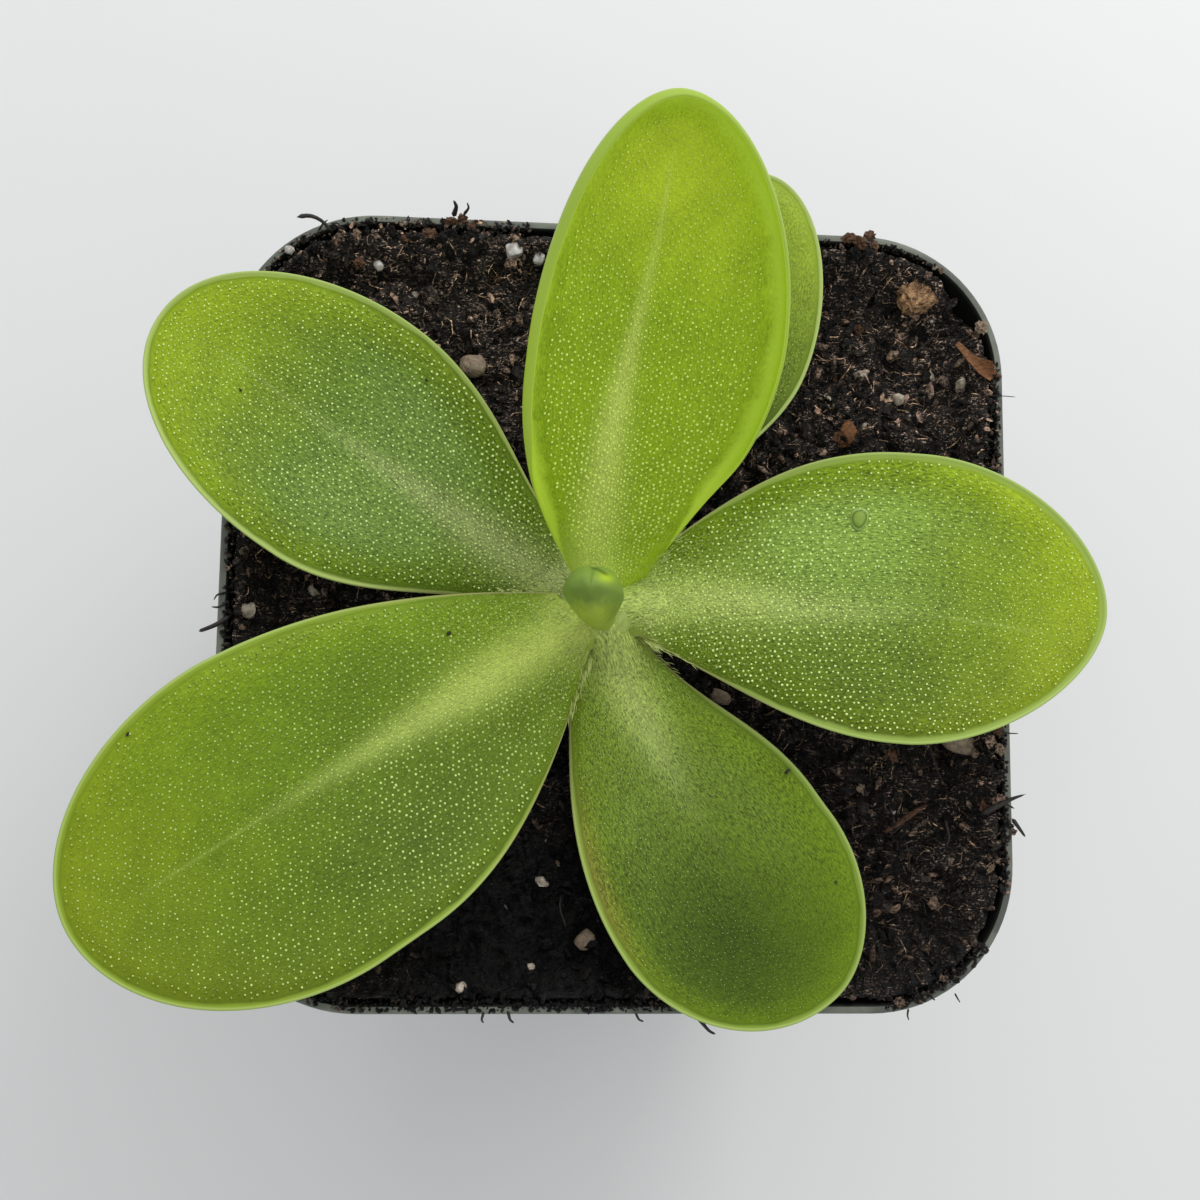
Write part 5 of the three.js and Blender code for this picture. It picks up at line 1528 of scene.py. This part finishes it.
def water_material():
    """Clear water over the leaf's green, with a ring of painted shade inside its edge and a painted
    highlight along the edge itself; it also mirrors the window."""
    paint, tree, skin = new_material("water", **{"Roughness": 0.06, "IOR": 1.33})
    place = tree.objects_place()
    out = tree.mark("out").outputs["Fac"]
    tint = tree.mix(tree.noise(place, 0.5), (0.20, 0.31, 0.03), (0.33, 0.47, 0.10))
    # Painted shade in a ring inside the edge, then a painted highlight along the edge.
    tint = tree.mix(tree.bell(tree.minus(out, 0.72), 0.12), tint, (0.13, 0.22, 0.02))
    tint = tree.mix(tree.share(out, 0.80, 0.92), tint, (0.44, 0.60, 0.20))
    tree.feed(skin["Base Color"], tint)
    return paint


def hair_material():
    """Pale hairs, some of them greener than others."""
    paint, tree, skin = new_material("hair_skin", Roughness=0.4)
    place = tree.objects_place()
    tint = tree.mix(tree.noise(place, 1.2), (0.50, 0.62, 0.13), (0.92, 1.0, 0.42))
    tree.feed(skin["Base Color"], tint)
    return paint


def young_material():
    """Blue-green on the two lobes, partly its own green and partly painted reflection of the sky;
    a band of painted shade across the middle, under the lobes; yellow-green on the keel, at the
    foot and in a spot on one lobe; and a line of painted shade in the cleft where the two
    margins meet."""
    paint, tree, skin = new_material(
        "young_leaf_skin", **{"IOR": 1.4, "Specular IOR Level": 0.3})
    fold = tree.node("SeparateXYZ", {0: tree.mark("fold").outputs["Vector"]}).outputs
    across, ahead, share = fold
    place = tree.objects_place()
    blur = tree.times(tree.minus(tree.noise(place, 1.4, 2), 0.5), 0.8)
    soft = tree.plus(ahead, blur)
    keel = tree.share(soft, -0.05, -0.80)
    # The lobes' blue-green is partly painted reflection of the sky.
    colour = tree.mix(keel, (0.255, 0.385, 0.068), (0.42, 0.535, 0.056))
    # A band of painted shade under the two lobes.
    arch = tree.plus(soft, tree.times(tree.math("ABSOLUTE", across), -0.3))
    band = tree.times(tree.bell(tree.plus(arch, 0.25), 0.42), tree.bell(across, 0.8))
    colour = tree.mix(tree.times(band, 0.75), colour, (0.085, 0.145, 0.014))
    spot = tree.times(tree.bell(tree.minus(ahead, 0.38), 0.19),
                      tree.bell(tree.minus(across, 0.48), 0.26))
    colour = tree.mix(spot, colour, (0.50, 0.68, 0.035))
    # A line of painted shade in the cleft where the two margins meet.
    right, up = tree.minus(across, 0.05), tree.minus(ahead, 0.76)
    off = tree.plus(tree.times(right, 0.503), tree.times(up, 0.865))
    on = tree.minus(tree.times(right, 0.865), tree.times(up, 0.503))
    fold_line = tree.times(tree.bell(off, 0.07), tree.share(on, -0.16, 0.0))
    fold_line = tree.times(fold_line, tree.share(on, 0.66, 0.42))
    colour = tree.mix(tree.times(fold_line, 0.75), colour, (0.05, 0.09, 0.015))
    colour = tree.mix(tree.share(share, 0.6, 0.1), colour, (0.45, 0.57, 0.07))
    mottle = tree.noise(place, 0.7, 3)
    colour = tree.mix(tree.times(mottle, 0.25), colour, (0.12, 0.2, 0.03))
    tree.feed(skin["Base Color"], colour)
    tree.feed(skin["Roughness"], tree.plus(0.38, tree.times(mottle, 0.2)))
    tree.feed(skin["Normal"], relief(tree, tree.noise(place, 0.28, 3), 0.05, 0.5))
    return paint


def grain_group():
    """Tint and relief of something rough: two sizes of noise added up, from Dark in its hollows
    to Light on its humps. Stretch narrows the humps along y."""
    inputs = {"Dark": (0.01, 0.008, 0.006), "Light": (0.05, 0.035, 0.025), "Size": 0.5,
              "Stretch": 1.0}
    tree, given, results, group = new_group("grain", inputs, {"Color": "Color", "Height": "Float"})
    stretch = tree.node("CombineXYZ", {0: 1.0, 1: given["Stretch"], 2: 1.0}).outputs[0]
    place = tree.stretched(tree.objects_place(), stretch)
    finer = tree.node("VectorMath", {0: place, "Scale": tree.math("DIVIDE", 1.0, given["Size"])},
                      operation="SCALE").outputs[0]
    coarse = tree.noise(finer, 1.0, 4, roughness=0.65)
    fine = tree.noise(finer, 0.23, 2, roughness=0.7)
    both = tree.plus(tree.times(coarse, 0.6), tree.times(fine, 0.4))
    colour = tree.mix(tree.share(both, 0.36, 0.66), given["Dark"], given["Light"])
    tree.feed(results["Color"], colour)
    tree.feed(results["Height"], both)
    return group


def grained(name, group, dark, light, size, depth, rough, toned=None, stretch=1.0, **plain):
    """A rough material from the grain group. Toned gives a second colour for loose copies, by
    each one's own tone."""
    paint, tree, skin = new_material(name, **plain)
    made = tree.node("Group", node_tree=group)
    for label, value in (("Dark", dark), ("Light", light), ("Size", size), ("Stretch", stretch)):
        tree.feed(made.inputs[label], value)
    colour = made.outputs["Color"]
    if toned:
        tone = tree.mark("tone").outputs["Fac"]
        colour = tree.mix(tree.share(tone, 0.45, 1.0), colour, toned)
    tree.feed(skin["Base Color"], colour)
    spread = tree.times(tree.minus(made.outputs["Height"], 0.5), 0.5)
    tree.feed(skin["Roughness"], tree.plus(rough, spread))
    tree.feed(skin["Normal"], relief(tree, made.outputs["Height"], depth))
    return paint


FIBRE_TURNS = (0.3, 1.35, 2.4)  # radians, one for each heading of the fibres
FIBRE_DIP, FIBRE_STRETCH = 0.25, (0.16, 1.0, 0.8)
DAMP_SPREAD = 13.0  # how far round the crown the soil is painted in shade, under the leaves


def felt_group():
    """Matted fibres: noise drawn out along three headings, the strongest of them at each place,
    kept where it is high. Its third output is how bright the peat is painted: low as painted shade
    between the two front leaves and round the crown, where the leaves shade it, and higher as
    painted light towards the back and the two sides than at the very front."""
    tree, _, results, group = new_group(
        "felt", {}, {"Strands": "Float", "Tint": "Float", "Dry": "Float"})
    place = tree.objects_place()
    strongest = 0.0
    for turn in FIBRE_TURNS:
        made = tree.node("Mapping", {"Vector": place, "Rotation": (0.0, FIBRE_DIP, turn),
                                     "Scale": FIBRE_STRETCH})
        strongest = tree.math("MAXIMUM", tree.noise(made.outputs[0], 0.16, 1), strongest)
    patch = tree.minus(tree.noise(place, 1.3, 2, roughness=0.6), 0.5)
    kept = tree.plus(strongest, tree.times(patch, 0.35))
    tree.feed(results["Strands"], tree.share(kept, 0.59, 0.75))
    tree.feed(results["Tint"], tree.noise(place, 0.9, 2, 4.1))
    x, y, _ = tree.node("SeparateXYZ", {0: place}).outputs
    # Painted shade: between the two front leaves and round the crown, under the leaves.
    front = tree.share(y, -16.0, -24.0)
    middle = tree.times(tree.share(x, -26.0, -16.0), tree.share(x, 8.0, -2.0))
    wet = tree.times(front, middle)
    near_crown = tree.bell(tree.minus(x, float(CROWN[0])), DAMP_SPREAD)
    near_crown = tree.times(near_crown, tree.bell(y, DAMP_SPREAD))
    back = tree.math("MAXIMUM", tree.share(y, -10.0, -2.0), 0.8)
    wet = tree.math("MAXIMUM", wet, tree.times(near_crown, back))
    # Painted light: more towards the back and the two sides, less at the very front.
    off_front = tree.share(y, -34.0, -24.0)
    right = tree.times(tree.share(x, 18.0, 32.0), off_front)
    left = tree.times(tree.share(x, -4.0, -20.0), tree.share(y, -12.0, 14.0))
    dry = 0.78
    for part, gain in ((off_front, 0.47), (tree.share(y, 0.0, 26.0), 0.75), (right, 0.4),
                       (left, 0.85)):
        dry = tree.plus(dry, tree.times(part, gain))
    not_wet = tree.minus(1.0, tree.times(wet, 0.95))
    tree.feed(results["Dry"], tree.times(dry, not_wet))
    return group


def peat_material(name, felt, dark, strand, rough, toned=None):
    """Nearly black peat with paler strands on it, painted darker in the hollows of a noise as
    painted shade and lighter on its humps as painted light; all of it is made lighter or darker by
    the felt's painted light and shade, and the bed also by painted light on the crests of its
    relief and painted shade between them. Toned gives loose pieces their own brightness, most of
    them dark, and that colour to the palest."""
    paint, tree, skin = new_material(name, **{"Specular IOR Level": 0.35})
    made = tree.node("Group", node_tree=felt).outputs
    lumps = tree.noise(tree.objects_place(), 0.32, 4, 2.0, 0.7)
    hollow = tree.share(lumps, 0.36, 0.62)
    tint = tree.mix(made["Tint"], strand, tuple(part * 0.55 for part in strand))
    colour = tree.mix(tree.times(made["Strands"], hollow), dark, tint)
    # Painted shade in the hollows of the noise, painted light on its humps.
    light = tree.plus(0.08, tree.times(hollow, 1.4))
    if toned:
        tone = tree.mark("tone").outputs["Fac"]
        colour = tree.mix(tree.share(tone, 0.72, 1.0), colour, toned)
        bright = tree.times(tree.math("POWER", tone, 3.0), 3.0)
        light = tree.times(light, tree.plus(0.1, bright))
    else:
        # On the bed: painted light on the crests of its relief, painted shade between them.
        hump = tree.times(tree.mark("hump").outputs["Fac"], 1.5)
        light = tree.times(light, tree.plus(0.15, hump))
    # The felt's painted light and shade over the peat.
    light = tree.times(light, made["Dry"])
    tree.feed(skin["Base Color"], tree.shaded(colour, light))
    tree.feed(skin["Roughness"], rough)
    height = tree.plus(tree.times(lumps, 0.7), tree.times(made["Strands"], 0.4))
    tree.feed(skin["Normal"], relief(tree, height, 0.4))
    return paint


def pot_material():
    """Satin dark plastic with a fine moulded grain, faint flow streaks, dust that settles most on
    the rim, and a lighter grey-green on the rim's top; inside, where the normal faces the pot's
    axis, it is painted nearly black, partly as soil dirt and partly as painted shade."""
    paint, tree, skin = new_material("pot_plastic", IOR=1.48)
    place = tree.objects_place()
    height = tree.node("SeparateXYZ", {0: place}).outputs[2]
    streak = tree.noise(tree.stretched(place, (1.0, 1.0, 0.12)), 3.5, 3)
    patch = tree.noise(place, 2.2, 4, 3.0, 0.6)
    colour = tree.mix(streak, (0.030, 0.038, 0.034), (0.046, 0.057, 0.050))
    rim = tree.share(height, POT_HEIGHT - 0.35, POT_HEIGHT - 0.1)
    # A lighter grey-green on the rim's top.
    worn = tree.plus(0.5, tree.share(tree.noise(place, 4.0, 3, 5.0), 0.35, 0.65))
    worn = tree.times(rim, tree.times(worn, 0.72))
    colour = tree.mix(worn, colour, (0.170, 0.185, 0.145))
    dust = tree.times(tree.share(patch, 0.52, 0.75), tree.plus(0.12, tree.times(rim, 0.5)))
    colour = tree.mix(dust, colour, (0.14, 0.132, 0.11))
    normal = tree.node("NewGeometry").outputs["Normal"]
    level = tree.stretched(place, (1.0, 1.0, 0.0))
    faced = tree.node("VectorMath", {0: level, 1: normal}, operation="DOT_PRODUCT")
    # Nearly black inside: partly soil dirt, partly painted shade on the inner wall.
    inner = tree.share(faced.outputs["Value"], -3.0, -12.0)
    colour = tree.mix(tree.times(inner, 0.95), colour, (0.003, 0.003, 0.0025))
    tree.feed(skin["Base Color"], colour)
    shine = tree.minus(0.5, tree.times(inner, 0.42))
    tree.feed(skin["Specular IOR Level"], shine)
    rough = tree.plus(0.34, tree.times(patch, 0.22))
    tree.feed(skin["Roughness"], tree.plus(rough, tree.times(dust, 0.3)))
    grain = tree.plus(tree.times(tree.noise(place, 0.35, 3), 0.35), tree.times(streak, 0.65))
    tree.feed(skin["Normal"], relief(tree, grain, 0.09, 0.35))
    return paint


def quartz_material():
    """Milky quartz, clouded by noise."""
    paint, tree, skin = new_material("quartz_grain", Roughness=0.28, IOR=1.54)
    place = tree.objects_place()
    cloud = tree.noise(place, 0.6, 4)
    colour = tree.mix(tree.share(cloud, 0.35, 0.7), (0.34, 0.31, 0.28), (0.72, 0.69, 0.65))
    tree.feed(skin["Base Color"], colour)
    tree.feed(skin["Normal"], relief(tree, cloud, 0.12, 0.6))
    return paint


# ---------------------------------------------------------------- the plant in its pot

grains = grain_group()
leaf_paint = leaf_paint_group()
felt = felt_group()
peat = peat_material("peat", felt, (0.004, 0.003, 0.0024), (0.34, 0.248, 0.19), 0.5)
peat_crumb = peat_material("peat_crumb", felt, (0.014, 0.011, 0.009), (0.21, 0.150, 0.112), 0.42,
                           toned=(0.10, 0.066, 0.046))
peat_fibre = peat_material("peat_fibre", felt, (0.050, 0.038, 0.029), (0.28, 0.200, 0.150), 0.4,
                           toned=(0.26, 0.17, 0.105))
grit = grained("grit", grains, (0.07, 0.06, 0.05), (0.30, 0.27, 0.24), 0.3, 0.1, 0.4,
               toned=(0.05, 0.042, 0.036))
bark = grained("bark", grains, (0.07, 0.028, 0.011), (0.72, 0.42, 0.20), 0.6, 0.6, 0.75)
wood = grained("wood", grains, (0.10, 0.035, 0.012), (0.42, 0.18, 0.06), 0.5, 0.3, 0.6,
               stretch=3.0)
twig = grained("twig", grains, (0.035, 0.014, 0.007), (0.17, 0.075, 0.035), 0.35, 0.2, 0.6)
pebble = grained("pebble", grains, (0.26, 0.205, 0.15), (0.68, 0.585, 0.47), 0.6, 0.1, 0.4)
flecks = grained("flecks", grains, (0.05, 0.024, 0.013), (0.23, 0.110, 0.050), 0.45, 0.3, 0.65)
thread = grained("thread", grains, (0.006, 0.005, 0.004), (0.035, 0.024, 0.017), 0.4, 0.1, 0.5,
                 toned=(0.09, 0.05, 0.03))
stone = grained("stone", grains, (0.17, 0.12, 0.08), (0.42, 0.32, 0.22), 0.7, 0.2, 0.7)
quartz = quartz_material()

make_pot(pot_material())
make_soil(peat)
make_crumbs("soil_crumbs", 8500, (0.25, 1.25), 0.3, 11, peat_crumb, "soil")
make_fibres("soil_fibres", 14000, (0.5, 2.8), 0.05, 12, peat_fibre)
make_crumbs("soil_grit", 160, (0.15, 0.45), 0.2, 13, grit, "stone")
make_spill("rim_spill", peat_crumb)
make_bits({"bark": bark, "wood": twig, "quartz": quartz, "stone": stone})
make_flakes(wood)
make_specks({"quartz": quartz, "grey": pebble, "stone": stone, "bark": flecks, "peat": peat_crumb})
make_threads(thread)

crown_skin = grained("crown_skin", grains, (0.34, 0.45, 0.09), (0.46, 0.56, 0.15), 0.6, 0.1, 0.5)
crown_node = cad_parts["crown"]
crown_node.data.materials.clear()
crown_node.data.materials.append(crown_skin)

hair = hair_material()
for index, (name, leaf) in enumerate(LEAVES.items()):
    looks = LEAF_LOOKS[name]
    seed = index * LEAF_SEED_STEP
    slot = "leaf_young_green" if name == "leaf_1_upright" else "leaf_green"
    make_leaf(name, leaf, leaf_material(name, leaf_paint, leaf, looks, seed), slot)
    dew = dew_material(name, leaf_paint, leaf, looks, seed)
    make_glands(name, leaf, dew, slot, *GLANDS[name])
    make_hairs(name, leaf, hair, slot, HAIR_COUNTS[index], FIRST_HAIR_SEED + index)
make_young_leaf(young_material())
make_water_drop(water_material())
make_leaf_dust(thread)

# ---------------------------------------------------------------- floor, lights and camera

TABLE_HALF, TABLE_DROP = 1500, 0.02
ROOM_COLOUR, ROOM_STRENGTH = (0.96, 0.98, 1.0, 1), 0.67
LAMP_AIM = (0, 0, 40)
CAMERA_PLACE = (-15.3, -18.2, 223.3)
CAMERA_TURN = (0.1258, -0.0908, 0.0110)  # radians about x, y and z
CAMERA_LENS, CAMERA_SENSOR = 46.8, 36


def make_floor():
    """A plain pale tabletop under the pot."""
    paint, tree, skin = new_material("tabletop", Roughness=0.7)
    place = tree.objects_place()
    tint = tree.mix(tree.noise(place, 60, 3), (0.83, 0.83, 0.82), (0.87, 0.87, 0.865))
    tree.feed(skin["Base Color"], tint)
    corners = TABLE_HALF * np.array([(-1, -1), (1, -1), (1, 1), (-1, 1)])
    points = np.column_stack([corners, np.full(4, -TABLE_DROP)])
    floor = make_piece("tabletop", points, [np.array([[0, 1, 2, 3]])], paint)


def make_light(name, place, aim, size, power, colour):
    """A rectangular lamp that faces its aim: tipped up from straight down by the angle between
    the two, then turned to the aim's heading."""
    lamp = bpy.data.lights.new(name, "AREA")
    lamp.shape = "RECTANGLE"
    lamp.size, lamp.size_y = size[0] * MM, size[1] * MM
    lamp.energy = power
    lamp.color = colour
    light = bpy.data.objects.new(name, lamp)
    at, to = np.array(place, float) * MM, np.array(aim, float) * MM
    light.location = at
    direction = to - at
    light.rotation_euler = Euler((
        math.atan2(math.hypot(direction[0], direction[1]), -direction[2]), 0,
        math.atan2(direction[1], direction[0]) - math.pi / 2), "XYZ")
    bpy.context.scene.collection.objects.link(light)


def make_camera():
    """A camera nearly straight above the plant."""
    lens = bpy.data.cameras.new("camera")
    lens.lens = CAMERA_LENS
    lens.sensor_width = CAMERA_SENSOR
    lens.clip_start, lens.clip_end = 0.01, 10
    camera = bpy.data.objects.new("camera", lens)
    camera.location = np.array(CAMERA_PLACE) * MM
    camera.rotation_euler = Euler(CAMERA_TURN, "XYZ")
    bpy.context.scene.collection.objects.link(camera)
    bpy.context.scene.camera = camera


make_floor()
make_light("window", (150, 400, 380), LAMP_AIM, (700, 420), 1.2, (1.0, 0.995, 0.98))
make_light("pane", (190, 380, 430), LAMP_AIM, (170, 120), 0.45, (1.0, 0.99, 0.97))
world = bpy.data.worlds.new("room")
world.use_nodes = True
world.node_tree.nodes["Background"].inputs["Color"].default_value = ROOM_COLOUR
world.node_tree.nodes["Background"].inputs["Strength"].default_value = ROOM_STRENGTH
bpy.context.scene.world = world
bpy.context.scene.view_settings.view_transform = "Standard"
make_camera()
